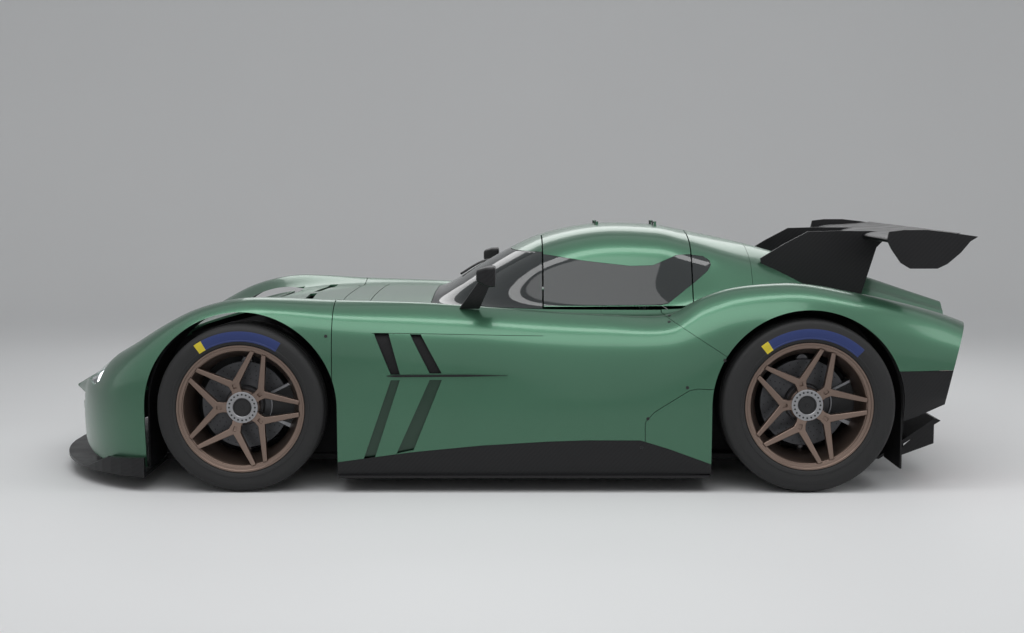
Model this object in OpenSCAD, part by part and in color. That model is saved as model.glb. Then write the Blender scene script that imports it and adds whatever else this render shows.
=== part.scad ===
// Closed two-seat racing hypercar: panels, glass, cabin, running gear and wings.
// Millimetres, +X forward, +Y left, +Z up. The origin is on the ground under the middle of the car.

/* [Overall] */
// Distance between the axles
wheelbase = 2520; // [2460:5:2580]
// Nose tip ahead of the front axle
front_overhang = 994; // [960:2:1030]
// End of the spine behind the rear axle
rear_overhang = 838; // [810:2:870]
// Half of the body's width at the splitter
body_half_w = 966; // [960:1:972]
// Length of the beak over the mouth
beak_l = 86; // [70:2:100]
// Thickness of the body panels
panel_t = 10; // [7:0.5:14]
// Gap between two fixed panels
seam = 0.8; // [0.5:0.1:0.9]
// Gap around a door
door_gap = 6; // [6:0.5:9]

/* [Wheels] */
// Radius of the rim flange
rim_r = 284; // [278:1:288]
// Radius of a front tyre
front_tyre_r = 376; // [368:1:384]
// Radius of a rear tyre
rear_tyre_r = 388; // [380:1:396]
// Width of a front tyre
front_tyre_w = 300; // [280:5:315]
// Width of a rear tyre
rear_tyre_w = 350; // [330:5:365]
// Outer face of a front tyre from the centre plane
front_face_y = 965; // [950:1:975]
// Outer face of a rear tyre from the centre plane
rear_face_y = 976; // [960:1:984]
// Radius of the front arch opening
front_arch_r = 428; // [420:1:440]
// Radius of the rear arch opening
rear_arch_r = 428; // [424:1:440]
// Radius of the brake disc
disc_r = 195; // [180:1:205]
// Thickness of the brake disc
disc_t = 32; // [26:1:36]
// Radius of the stub axle
stub_r = 30; // [26:1:34]
// Radial clearance of the hub on its stub axle
hub_fit = 0.06; // [0.03:0.01:0.09]
// Number of arms on the rim
rim_arms = 5; // [5:1:6]

/* [Cabin] */
// Front edge of the doors behind the front axle
door_front_back = 1352; // [1330:2:1370]
// Length of the doors
door_l = 698; // [680:2:710]
// Rear edge of the roof panel behind the doors
roof_tail_l = 304; // [290:2:320]
// Edge of the doors beside the roof spine
door_top_y = 105; // [90:1:120]
// Underside of the floor
floor_z = 66; // [60:1:76]
// Thickness of the floor
floor_t = 26; // [20:1:32]

/* [Wing] */
// Half of the wing's span
wing_half_span = 860; // [820:5:900]
// Thickness of an end plate
end_plate_t = 12; // [8:1:16]

/* [Hidden] */
$fn = 64;
// Gap between a piece and its seat
joint_gap = 0.3;

paint = [0.28, 0.52, 0.38];
carbon = [0.06, 0.06, 0.065];
bronze = [0.42, 0.31, 0.23];
steel = [0.55, 0.56, 0.58];
rubber = [0.04, 0.04, 0.04];
tint = [0.10, 0.13, 0.13, 0.6];

nose_x = (front_overhang + wheelbase + rear_overhang) / 2;
tail_x = -nose_x;
front_axle_x = nose_x - front_overhang;
rear_axle_x = front_axle_x - wheelbase;
door_front_x = front_axle_x - door_front_back;
door_rear_x = door_front_x - door_l;
roof_rear_x = door_rear_x - roof_tail_l;

// The stations below were drawn for axles, overhangs and a width of these sizes; station() carries them to the real ones.
drawn_front_axle = 1182;
drawn_rear_axle = -1338;
drawn_front_overhang = 994;
drawn_rear_overhang = 838;
drawn_half_w = 966;
function station(x) =
  x >= drawn_front_axle ? front_axle_x + (x - drawn_front_axle) * front_overhang / drawn_front_overhang :
  x <= drawn_rear_axle ? rear_axle_x + (x - drawn_rear_axle) * rear_overhang / drawn_rear_overhang :
  rear_axle_x + (x - drawn_rear_axle) * wheelbase / (drawn_front_axle - drawn_rear_axle);

// One row for each station, from the nose back. Each line of the body has its place across and up:
// x, crown z, rail y, rail z, base y, base z, crest y, crest z, flank y, flank z, sill y, sill z, hem y, hem z.
sections = [
  [2176, 356, 250, 354, 500, 350, 790, 345, 900, 335, 930, 322, 900, 306],
  [2090, 408, 250, 404, 500, 396, 790, 392, 920, 350, 960, 290, 930, 235],
  [1990, 455, 250, 450, 500, 440, 790, 448, 925, 385, 965, 270, 940, 150],
  [1900, 505, 250, 497, 505, 490, 790, 508, 930, 430, 970, 290, 940, 115],
  [1800, 556, 250, 547, 510, 545, 785, 583, 935, 500, 970, 330, 940, 108],
  [1700, 606, 250, 597, 515, 598, 785, 640, 940, 560, 970, 370, 940, 108],
  [1550, 672, 255, 663, 520, 668, 785, 733, 943, 640, 972, 400, 940, 110],
  [1400, 728, 260, 722, 525, 728, 788, 808, 948, 715, 975, 420, 940, 115],
  [1200, 785, 270, 780, 535, 785, 795, 856, 950, 755, 975, 430, 940, 120],
  [1000, 818, 280, 815, 545, 812, 795, 855, 948, 750, 968, 430, 940, 90],
  [800, 828, 290, 826, 560, 820, 790, 842, 938, 730, 957, 430, 940, 76],
  [600, 832, 300, 829, 580, 822, 780, 834, 922, 712, 942, 425, 935, 76],
  [400, 834, 315, 830, 600, 819, 772, 826, 908, 700, 932, 420, 930, 76],
  [330, 845, 328, 838, 612, 815, 770, 822, 904, 696, 929, 420, 930, 76],
  [161, 948, 372, 915, 625, 806, 768, 812, 898, 688, 925, 418, 930, 76],
  [-14, 1047, 408, 995, 632, 798, 766, 800, 894, 678, 925, 418, 930, 76],
  [-180, 1119, 425, 1060, 632, 793, 766, 787, 890, 668, 926, 418, 930, 76],
  [-440, 1168, 430, 1105, 625, 790, 768, 773, 888, 660, 928, 418, 930, 76],
  [-730, 1163, 415, 1098, 600, 788, 775, 772, 902, 668, 938, 420, 932, 76],
  [-860, 1140, 394, 1072, 578, 794, 785, 846, 920, 700, 950, 428, 938, 80],
  [-1000, 1112, 360, 1038, 535, 808, 792, 898, 942, 752, 964, 440, 948, 95],
  [-1190, 1068, 290, 988, 470, 815, 800, 922, 962, 785, 980, 455, 955, 175],
  [-1340, 1026, 240, 952, 425, 808, 800, 922, 968, 790, 982, 460, 955, 215],
  [-1550, 970, 180, 905, 370, 790, 795, 885, 958, 765, 972, 460, 945, 270],
  [-1790, 905, 130, 850, 305, 762, 770, 832, 925, 715, 945, 460, 918, 322],
  [-2000, 835, 100, 790, 250, 730, 720, 772, 885, 665, 905, 465, 880, 400],
  [-2176, 777, 85, 740, 210, 700, 660, 705, 850, 625, 870, 470, 850, 440]];
LINES = 6;
BASE = 2;
HEM = 6;

// The nose is rounded in plan, with a pointed beak ahead of it: widths shrink towards the tip.
nose_round_x = front_axle_x + 318;
nose_power = 1.8;
beak_root_w = 0.42;
function rounding(x, tip) =
  x <= nose_round_x ? 1 : sqrt(max(0.0004, 1 - pow(min(1, (x - nose_round_x) / (tip - nose_round_x)),
      nose_power)));
function nose_width(x) = max(rounding(x, nose_x - beak_l), beak_root_w * min(1,
    (nose_x + 4 - x) / (2 * beak_l)));

// Cubic interpolation down one column of the table.
function row_before(x, i = 0) = i >= len(sections) - 2 || x >= station(sections[i + 1][0]) ? i :
    row_before(x, i + 1);
function rise(a, b, c) = (sections[b][c] - sections[a][c]) / (station(sections[b][0]) - station(sections[a][0]));
function slope_at(i, c) = rise(max(i - 1, 0), min(i + 1, len(sections) - 1), c);
function column(x, c) =
  let (i = row_before(x), x0 = station(sections[i][0]), x1 = station(sections[i + 1][0]),
    u = max(0, min(1, (x - x0) / (x1 - x0))), u2 = u * u, u3 = u2 * u, d = x1 - x0)
  (2 * u3 - 3 * u2 + 1) * sections[i][c] + (3 * u2 - 2 * u3) * sections[i + 1][c]
  + (u3 - 2 * u2 + u) * d * slope_at(i, c) + (u3 - u2) * d * slope_at(i + 1, c);
// A line of the body at x: k counts from the crown (0) to the hem (6).
function body_line(x, k) = [x, k == 0 ? 0 : nose_width(x) * column(x, 2 * k) * body_half_w / drawn_half_w,
    column(x, k == 0 ? 1 : 2 * k + 1)];
function mirrored(p) = [p[0], -p[1], p[2]];
// A point of the left half for s in 0 to 6, on a smooth curve through the lines.
function half_point(x, s) =
  let (k = min(floor(s), LINES - 1), t = s - k, b = body_line(x, k), c = body_line(x, k + 1),
    a = k == 0 ? mirrored(c) : body_line(x, k - 1), d = k + 2 > LINES ? 2 * c - b : body_line(x, k + 2))
  0.5 * (2 * b + (c - a) * t + (2 * a - 5 * b + 4 * c - d) * t * t + (3 * b - a - 3 * c + d) * t * t * t);
function body_point(x, s) = s < 0 ? mirrored(half_point(x, -s)) : half_point(x, s);
function body_normal(x, s) =
  let (xa = min(x + 6, nose_x), xb = max(x - 6, tail_x), sa = min(s + 0.05, LINES),
      sb = max(s - 0.05, -LINES),
    n = cross(body_point(xa, s) - body_point(xb, s), body_point(x, sa) - body_point(x, sb)))
  n / norm(n);

// Stations of the skin grid, closer where the body turns.
grid_x = [2176, 2130, 2096, 2082, 2058, 2020, 1970, 1880, 1770, 1650, 1520, 1390, 1260, 1130, 1000, 870, 740,
    600, 470, 390,
  345, 300, 200, 80, -40, -170, -320, -480, -640, -760, -868, -960, -1060, -1172, -1300, -1440, -1600, -1780,
      -1980, -2176];
span_steps = 3;
// Ends and breaks, with the grid's own values wherever none of these is near.
function near(v, marks, d) = len([for (m = marks) if (abs(v - m) < d) m]) > 0;
function descending(v) = len(v) < 2 ? v :
  let (p = v[floor(len(v) / 2)]) concat(descending([for (a = v) if (a > p) a]), [p],
      descending([for (a = v) if (a < p) a]));
function grid_between(x0, x1, breaks) =
  let (marks = concat([x0, x1], breaks))
  descending(concat(marks, [for (g = grid_x) let (x = station(g)) if (x < x1 && x > x0 &&
      !near(x, marks, 14)) x]));
function span_between(s0, s1, breaks) =
  let (marks = concat([s0, s1], breaks), all = [for (j = [-LINES * span_steps : LINES * span_steps]) j / span_steps],
    v = descending(concat(marks, [for (a = all) if (a < s1 && a > s0 && !near(a, marks, 0.12)) a])))
  [for (i = [len(v) - 1 : -1 : 0]) v[i]];

// A panel of the skin between two stations and two lines, thick deep and raised by lift.
// Cells of the grid for which open(x, s) is true are left out, and every edge is walled.
// With closed_front, its front section is closed like the bow of a boat.
module skin(x0, x1, s0, s1, thick = panel_t, lift = 0, closed_front = false, x_breaks = [], s_breaks = [],
    open = function(x, s) false) {
  xs = grid_between(x0, x1, x_breaks);
  ss = span_between(s0, s1, s_breaks);
  rows = len(xs);
  cols = len(ss);
  outer = [for (x = xs) for (s = ss) body_point(x, s) + lift * body_normal(x, s)];
  inner = [for (x = xs) for (s = ss) body_point(x, s) - (thick - lift) * body_normal(x, s)];
  n = rows * cols;
  half = (cols - 1) / 2;
  function at(i, j) = i * cols + j;
  function kept(i, j) = i >= 0 && i < rows - 1 && j >= 0 && j < cols - 1 &&
      !open((xs[i] + xs[i + 1]) / 2, (ss[j] + ss[j + 1]) / 2);
  function wall(a, b) = [[a, b, b + n], [a, b + n, a + n]];
  cells = [for (i = [0 : rows - 2]) for (j = [0 : cols - 2]) if (kept(i, j)) [i, j]];
  sheet = [for (c = cells) let (i = c[0], j = c[1])
    each [[at(i, j), at(i, j + 1), at(i + 1, j + 1)], [at(i, j), at(i + 1, j + 1), at(i + 1, j)]]];
  back = [for (f = sheet) [f[2] + n, f[1] + n, f[0] + n]];
  walls = [for (c = cells) let (i = c[0], j = c[1]) each concat(
    kept(i - 1, j) || (closed_front && i == 0) ? [] : wall(at(i, j + 1), at(i, j)),
    kept(i + 1, j) ? [] : wall(at(i + 1, j), at(i + 1, j + 1)),
    kept(i, j - 1) ? [] : wall(at(i, j), at(i + 1, j)),
    kept(i, j + 1) ? [] : wall(at(i + 1, j + 1), at(i, j + 1)))];
  bow = [for (j = [0 : half - 1]) each j < half - 1 ?
    [[j + 1, j, cols - 1 - j], [j + 1, cols - 1 - j, cols - 2 - j],
     [j + n, j + 1 + n, cols - 1 - j + n], [j + 1 + n, cols - 2 - j + n, cols - 1 - j + n]] :
    [[j + 1, j, cols - 1 - j], [j + n, j + 1 + n, cols - 1 - j + n]]];
  lip = [[0, n, cols - 1 + n], [0, cols - 1 + n, cols - 1]];
  polyhedron(points = concat(outer, inner), faces = [for (f = closed_front ?
    concat(sheet, back, walls, bow, lip) : concat(sheet, back, walls)) [f[2], f[1], f[0]]], convexity = 12);
}

// Where the upper panels end, a seam inside the base line.
base_edge = BASE - seam / 100;

// Everything within depth under the skin, raised by the joint gap: cut from what stands on the skin.
module under_skin(x0, x1, s0, s1, depth = 60) {
  skin(x0, x1, s0, s1, thick = depth, lift = joint_gap);
}
// Everything outside the inner face of the skin: cut from what carries the skin from inside.
module beyond_skin(x0, x1, s0, s1, clear = joint_gap) {
  skin(x0, x1, s0, s1, thick = 60 + panel_t + clear, lift = 60);
}

module mirror_y() {
  children();
  mirror([0, 1, 0]) children();
}

// A prism along Y from a side-view outline.
module side_prism(outline, y0 = -1200, y1 = 1200) {
  translate([0, y1, 0]) rotate([90, 0, 0]) linear_extrude(y1 - y0) polygon(outline);
}

module axle_cylinder(x, z, r, y0, y1) {
  translate([x, y1, z]) rotate([90, 0, 0]) cylinder(h = y1 - y0, r = r);
}

// Wheel arches, cut through the side of the skin and open at the bottom.
arch_y0 = 515;
module arch_cutter(grow = 0) {
  mirror_y() {
    axle_cylinder(front_axle_x, front_tyre_r, front_arch_r + grow, arch_y0, 1100);
    axle_cylinder(rear_axle_x, rear_tyre_r, rear_arch_r + grow, arch_y0, 1100);
    translate([front_axle_x - front_arch_r - grow, arch_y0, -100])
      cube([2 * (front_arch_r + grow), 540, 100 + front_tyre_r]);
    translate([rear_axle_x - rear_arch_r - grow, arch_y0, -100])
      cube([2 * (rear_arch_r + grow), 540, 100 + rear_tyre_r]);
  }
}

// Panel splits.
clip_x = front_axle_x - 407;
screen_base_x = station(353);
rear_split = [[station(-714), 900], [station(-714), 776], [station(-983), 603], [station(-983), 40]];
module behind_rear_split(gap = 0) {
  side_prism(concat([for (p = rear_split) p - [gap, 0]], [[tail_x - 100, 40], [tail_x - 100, 900]]));
}

// Side windows in side view.
window_outline = [[door_front_x, 1036], [door_front_x - 190, 1010], [door_rear_x + 293, 986],
    [door_rear_x + 185, 988],
  [door_rear_x + 68, 1034], [door_rear_x, 1036], [door_rear_x, 898], [door_rear_x + 119, 812],
      [door_rear_x + 156, 806], [door_front_x, 812]];
quarter_outline = [[door_rear_x, 1034], [door_rear_x - 72, 1018], [door_rear_x - 84, 990],
    [door_rear_x, 906]];
screen_top_z = 1046;

// The mouth under the beak, which shows from the side as a notch.
mouth_half_w = 640;
mouth_roof_z = 346;
mouth_floor_z = 300;
mouth_depth = 64;
module mouth_cutter() {
  beak_x = nose_x - beak_l;
  side_prism([[nose_x + 50, mouth_roof_z], [beak_x - mouth_depth, mouth_roof_z],
      [beak_x - mouth_depth + 8, mouth_floor_z + 16],
    [beak_x + 3, mouth_floor_z], [beak_x + 3, 0], [nose_x + 50, 0]], -mouth_half_w, mouth_half_w);
}

module nose_clip() {
  color(paint) difference() {
    skin(clip_x, nose_x, -HEM, HEM, closed_front = true);
    arch_cutter();
    intake_cutter();
    mouth_cutter();
    headlight_cutter(seam);
    for (x = louvre_x) louvre_cutter(x);
  }
}

// Outlets across the bonnet.
louvre_x = [station(1165), station(985)];
louvre_w = 34;
louvre_y = 520;
module louvre_cutter(x) {
  mirror_y() translate([x, 60, 700]) linear_extrude(260)
    polygon([[0, 0], [-louvre_w, 0], [-louvre_w - 30, louvre_y], [-20, louvre_y]]);
}

intake_half_w = 430;
intake_z0 = 132;
intake_z1 = 268;
module intake_cutter(shrink = 0) {
  translate([nose_x - 420, 0, 0]) rotate([90, 0, 90]) linear_extrude(500)
    offset(r = -shrink) offset(r = 24) offset(delta = -24)
      polygon([[-intake_half_w, intake_z0], [intake_half_w, intake_z0],
        [intake_half_w - 40, intake_z1 - 30], [160, intake_z1], [-160, intake_z1],
            [-intake_half_w + 40, intake_z1 - 30]]);
}

module headlight_cutter(gap = 0) {
  mirror_y() translate([0, 420 - gap, 0]) rotate([90, 0, 0]) mirror([0, 0, 1])
    linear_extrude(250 + 2 * gap) offset(delta = gap)
      polygon([[station(1925), 440], [station(1800), 520], [station(1800), 680], [station(2000), 680],
          [station(2000), 440]]);
}

module headlights() {
  color([0.85, 0.9, 0.95, 0.6]) intersection() {
    skin(station(1700), station(2060), -HEM, HEM, thick = 8, lift = -1);
    headlight_cutter();
  }
}

module cowl() {
  color(paint) skin(screen_base_x + seam, clip_x - seam, -base_edge, base_edge);
}

module windscreen() {
  color(tint) difference() {
    skin(door_front_x + door_gap, screen_base_x, -base_edge, base_edge, thick = 7);
    translate([-1000, -800, screen_top_z]) cube([2000, 1600, 300]);
    translate([door_front_x + door_gap - 100, -800, 0]) cube([100, 1600, 1200]);
  }
}

// The doors' upper edge follows the line of the body that lies door_top_y from the middle.
door_edge_s = door_top_y / 437;
spine_edge_s = (door_top_y - door_gap) / 437;
// The rear corners of the roof stand back a little from here outwards.
roof_corner_y = 415;
module roof() {
  color(paint) {
    roof_hinges();
    difference() {
      skin(roof_rear_x, station(60), -base_edge, base_edge, x_breaks = [door_rear_x - door_gap,
          door_front_x + door_gap],
        s_breaks = [-spine_edge_s, spine_edge_s],
        open = function(x, s) x > door_rear_x - door_gap && x < door_front_x + door_gap &&
            abs(s) > spine_edge_s);
      translate([door_front_x + 2 * door_gap, -800, 0]) cube([600, 1600, screen_top_z + seam]);
      translate([door_front_x + door_gap - seam, -800, 0]) cube([2 * door_gap, 1600, screen_top_z + seam]);
      side_prism(quarter_outline);
      mirror_y() translate([roof_rear_x - 10, roof_corner_y, 0]) cube([12, 300, 1300]);
    }
  }
}

module quarter_glass() {
  color(tint) intersection() {
    skin(roof_rear_x, door_rear_x - door_gap, -base_edge, base_edge, thick = 7);
    translate([0, 1200, 0]) rotate([90, 0, 0]) linear_extrude(2400) offset(delta = -joint_gap)
        polygon(quarter_outline);
  }
}

// Door hinges: two pins on each side of the roof spine, above the skin.
hinge_y = door_top_y - door_gap / 2;
hinge_z = 1176;
hinge_x = [station(-440), station(-727)];
hinge_pin_r = 4;
hinge_r = 8;
hinge_l = 24;
pin_fit = 0.3;
module hinge_round(x, r, l) {
  translate([x - l / 2, hinge_y, hinge_z]) rotate([0, 90, 0]) cylinder(h = l, r = r);
}
module roof_hinges() {
  mirror_y() for (x = hinge_x) {
    hinge_round(x, hinge_pin_r, hinge_l + 20);
    for (m = [-1, 1]) {
      hinge_round(x + m * (hinge_l / 2 + 5.5), hinge_r, 10);
      translate([x + m * (hinge_l / 2 + 5.5) - 5, hinge_y - 24, hinge_z - 24]) cube([10, 10, 24 + 6]);
      translate([x + m * (hinge_l / 2 + 5.5) - 5, hinge_y - 24, hinge_z - 2]) cube([10, 24, 8]);
    }
  }
}
module door_hinges() {
  for (x = hinge_x) difference() {
    union() {
      hinge_round(x, hinge_r, hinge_l);
      translate([x - hinge_l / 2, hinge_y, hinge_z - 2]) cube([hinge_l, 26, 8]);
      translate([x - hinge_l / 2, hinge_y + 14, hinge_z - 24]) cube([hinge_l, 12, 24 + 6]);
    }
    hinge_round(x, hinge_pin_r + pin_fit, hinge_l + 2);
  }
}

module door_shell() {
  door_hinges();
  difference() {
    skin(door_rear_x, door_front_x, door_edge_s, base_edge);
    side_prism([for (p = window_outline) [min(max(p[0], door_rear_x + door_frame),
        door_front_x - door_frame), p[1]]]);
    translate([door_rear_x - 20, -1200, 600]) cube([door_front_x - door_rear_x + 40, 2400,
        door_sill_z - 600]);
  }
}
door_frame = 32;
door_sill_z = 803;

module door_left() {
  color(paint) door_shell();
}

module door_right() {
  color(paint) mirror([0, 1, 0]) door_shell();
}

module door_glass() {
  intersection() {
    skin(door_rear_x, door_front_x, door_edge_s, base_edge, thick = 6, lift = -1);
    translate([0, 1200, 0]) rotate([90, 0, 0]) linear_extrude(2400) offset(delta = -joint_gap)
      polygon([for (p = window_outline) [min(max(p[0], door_rear_x + door_frame), door_front_x - door_frame),
          p[1]]]);
  }
}

module door_glass_left() {
  color(tint) door_glass();
}

module door_glass_right() {
  color(tint) mirror([0, 1, 0]) door_glass();
}

module side_panels() {
  color(paint) mirror_y() difference() {
    skin(station(-1000), clip_x - seam, BASE, HEM, x_breaks = [door_front_x + door_gap, screen_base_x]);
    arch_cutter();
    behind_rear_split();
    side_vent_cutter();
    side_prism(skirt_outline);
  }
}

// Two slanted outlets in the flank behind each front wheel.
vent_x = [530, 382];
vent_w = 62;
module side_vent_cutter(shrink = 0) {
  for (x = vent_x) side_prism([[station(x) + shrink, 708 - shrink],
      [station(x) + vent_w - shrink, 708 - shrink],
    [station(x) + vent_w - 52 - shrink, 528 + shrink], [station(x) - 52 + shrink, 528 + shrink]]);
}

module side_vents() {
  color(carbon) intersection() {
    mirror_y() skin(station(280), station(640), 3, 5, thick = 6, lift = -panel_t - joint_gap);
    side_vent_cutter(-12);
  }
}

tail_curve_r = 3200;
tail_tilt = 13;
module tail_trim() {
  intersection() {
    children();
    translate([tail_x, 0, 770]) rotate([0, -tail_tilt, 0]) translate([tail_curve_r, 0, -900])
      cylinder(h = 1600, r = tail_curve_r, $fn = 200);
  }
}

module rear_clip() {
  color(paint) tail_trim() {
    difference() {
      skin(tail_x, station(-700), -HEM, HEM, x_breaks = [roof_rear_x - seam, door_rear_x - door_gap],
        open = function(x, s) x > roof_rear_x - seam && abs(s) < BASE);
      arch_cutter();
      rear_corner_region();
      mirror_y() difference() {
        translate([station(-1060), 0, 0]) cube([500, 1200, 1200]);
        behind_rear_split(seam);
      }
    }
  }
}

// Everything below this height behind the rear wheels is dark.
valance_z = 544;
module rear_corner_region(gap = 0) {
  translate([tail_x - 20, -1200, 0]) cube([rear_axle_x - tail_x, 2400, valance_z - gap]);
}

module rear_valances() {
  color(carbon) tail_trim() intersection() {
    difference() {
      mirror_y() skin(tail_x, rear_axle_x, BASE, HEM);
      arch_cutter();
    }
    rear_corner_region(seam);
  }
}

// The back of the car: a dark plate that follows the curve of the tail.
back_inset = 60;
back_t = 12;
module tail_wall(inset, thick) {
  translate([tail_x, 0, 770]) rotate([0, -tail_tilt, 0]) translate([tail_curve_r, 0, -900]) difference() {
    cylinder(h = 1600, r = tail_curve_r - inset, $fn = 200);
    translate([0, 0, -1]) cylinder(h = 1602, r = tail_curve_r - inset - thick, $fn = 200);
  }
}
tail_section = [for (j = [-12 : 12]) let (p = body_point(tail_x + 120, j * HEM / 12)) [p[1], p[2]]];
module rear_panel() {
  color(carbon) difference() {
    intersection() {
      tail_wall(back_inset, back_t);
      translate([tail_x - 50, 0, 0]) rotate([90, 0, 90]) linear_extrude(600) offset(delta = 10)
          polygon(tail_section);
    }
    beyond_skin(tail_x, station(-1780), -HEM, HEM);
  }
}

light_half_w = 118;
module taillights() {
  color([0.7, 0.05, 0.05]) intersection() {
    tail_wall(back_inset - 20, 20 - seam / 2);
    mirror_y() translate([tail_x - 50, 700 - light_half_w, 612]) cube([600, 2 * light_half_w, 16]);
  }
}

// Plan of the splitter, rounded like the nose.
splitter_half_w = body_half_w;
splitter_rear_x = front_axle_x + front_arch_r + 6;
module splitter_plan(grow = 0) {
  xs = [for (i = [0 : 18]) nose_x - (nose_x - splitter_rear_x) * pow(i / 18, 2)];
  polygon(concat([for (x = xs) [x, splitter_half_w * rounding(x, nose_x + 1.5) + grow]],
    [for (i = [18 : -1 : 0]) [xs[i], -splitter_half_w * rounding(xs[i], nose_x + 1.5) - grow]]));
}

splitter_t = 14;
band_t = 34;
module splitter() {
  color(carbon) {
    translate([0, 0, floor_z]) linear_extrude(splitter_t) splitter_plan();
    // the corner's band, which rises towards the wheel
    difference() {
      intersection() {
        translate([0, 0, floor_z]) linear_extrude(100) difference() {
          splitter_plan();
          splitter_plan(-band_t);
        }
        side_prism([[splitter_rear_x, floor_z], [splitter_rear_x, floor_z + 88],
            [splitter_rear_x + 190, floor_z + 74],
          [nose_x - 250, floor_z + splitter_t], [nose_x - 250, floor_z]]);
      }
      mirror_y() under_skin(station(1520), station(1970), 5, HEM);
    }
  }
}

module front_grille() {
  color(carbon) intersection() {
    translate([nose_x - 420, 0, 0]) difference() {
      translate([0, -intake_half_w, floor_z + splitter_t + joint_gap])
        cube([300, 2 * intake_half_w, intake_z1 - floor_z - splitter_t]);
      for (z = [intake_z0 + 22 : 36 : intake_z1 - 20])
        translate([12, -intake_half_w + 24, z - 12]) cube([400, 2 * intake_half_w - 48, 24]);
    }
    linear_extrude(400) splitter_plan(-beak_l - 26);
    intake_cutter(joint_gap);
  }
}

// Dark skirts along the foot of the flanks, with a blade under them.
skirt_outline = [[station(850), 20], [station(751), 136], [station(430), 178], [station(116), 208],
    [station(-180), 226],
  [station(-358), 232], [station(-595), 232], [station(-715), 196], [station(-1010), 90],
      [station(-1010), 20]];
blade_t = 8;
module sill_blades() {
  color(carbon) mirror_y() {
    intersection() {
      difference() {
        skin(station(-1000), clip_x - seam, 4, HEM);
        arch_cutter();
      }
      side_prism([for (p = skirt_outline) p - [0, p[1] > 50 ? seam : 0]]);
    }
    translate([rear_axle_x + rear_arch_r + 4, tub_half_w + joint_gap, floor_z])
      cube([front_axle_x - front_arch_r - rear_axle_x - rear_arch_r - 8,
          blade_half_w - tub_half_w - joint_gap, blade_t + 4]);
  }
}

// Tub: floor, cockpit walls and bulkheads, with a narrow keel between the front wheels.
tub_half_w = body_half_w - 86;
blade_half_w = body_half_w - 8;
cockpit_half_w = 520;
cockpit_wall = 34;
cockpit_wall_z = 640;
front_bulkhead_x = station(640);
rear_bulkhead_x = station(-700);
keel_half_w = 300;
outrigger_x = [station(-480), station(40), station(680)];
keel_top_z = 480;
inner_half_w = 500;
module tub() {
  color(carbon) {
    translate([0, 0, floor_z]) linear_extrude(floor_t) polygon(concat(
      [for (v = tub_plan) v], [for (i = [len(tub_plan) - 1 : -1 : 0]) [tub_plan[i][0], -tub_plan[i][1]]]));
    mirror_y() translate([rear_bulkhead_x, cockpit_half_w, floor_z])
      cube([front_bulkhead_x - rear_bulkhead_x, cockpit_wall, cockpit_wall_z - floor_z]);
    translate([front_bulkhead_x - 30, -cockpit_half_w - 1, floor_z])
        cube([30, 2 * cockpit_half_w + 2, 690 - floor_z]);
    translate([rear_bulkhead_x, -cockpit_half_w - 1, floor_z])
        cube([30, 2 * cockpit_half_w + 2, 690 - floor_z]);
    translate([front_bulkhead_x - 1, -keel_half_w, floor_z])
      cube([splitter_rear_x - 40 - front_bulkhead_x, 2 * keel_half_w, keel_top_z - floor_z]);
    // outriggers that carry the side panels
    for (x = outrigger_x) mirror_y() difference() {
      translate([x, cockpit_half_w + 10, floor_z + floor_t - 1]) cube([20, 425, 420]);
      beyond_skin(x - 40, x + 60, 4, HEM);
    }
  }
}
tub_plan = [[splitter_rear_x - joint_gap, inner_half_w], [front_axle_x - front_arch_r - 2, inner_half_w],
  [front_axle_x - front_arch_r - 2, tub_half_w], [rear_axle_x + rear_arch_r + 2, tub_half_w],
  [rear_axle_x + rear_arch_r + 2, inner_half_w], [rear_axle_x - rear_arch_r, inner_half_w]];

module diffuser() {
  x0 = rear_axle_x - rear_arch_r - seam;
  color(carbon) {
    side_prism([[x0, floor_z], [x0, floor_z + 12], [tail_x + 150, 262], [tail_x + 120, 250]], -inner_half_w,
        inner_half_w);
    for (y = [-495, -250, -5, 240, 485]) side_prism([[x0 - 60, floor_z + 8], [tail_x + 150, 255],
        [tail_x + 150, 140],
      [x0 - 60, floor_z]], y, y + 10);
  }
}

// Wheel housings: half a tube over each wheel, with straight legs that stand on the floor.
liner_t = 8;
front_liner_y1 = 836;
rear_liner_y1 = 872;
module liner(x, z, r, y0, y1, top_z) {
  intersection() {
    translate([x, y1, z]) rotate([90, 0, 0]) linear_extrude(y1 - y0) difference() {
      union() {
        circle(r = r + liner_t + 2);
        translate([-r - liner_t - 2, -z]) square([2 * (r + liner_t + 2), z]);
      }
      circle(r = r + 2);
      translate([-r - 2, -z - 1]) square([2 * (r + 2), z + 1]);
    }
    translate([x - 600, 0, floor_z + floor_t + joint_gap]) cube([1200, 1000, top_z - floor_z - floor_t]);
  }
}
module wheel_liners() {
  color(carbon) mirror_y() {
    difference() {
      union() {
        liner(front_axle_x, front_tyre_r, front_arch_r, 665, front_liner_y1, 900);
        liner(front_axle_x, front_tyre_r, front_arch_r, arch_y0, front_liner_y1, 690);
      }
      beyond_skin(clip_x, station(1800), 0, HEM, clear = 3);
    }
    liner(rear_axle_x, rear_tyre_r, rear_arch_r, 585, rear_liner_y1, 900);
  }
}

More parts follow.
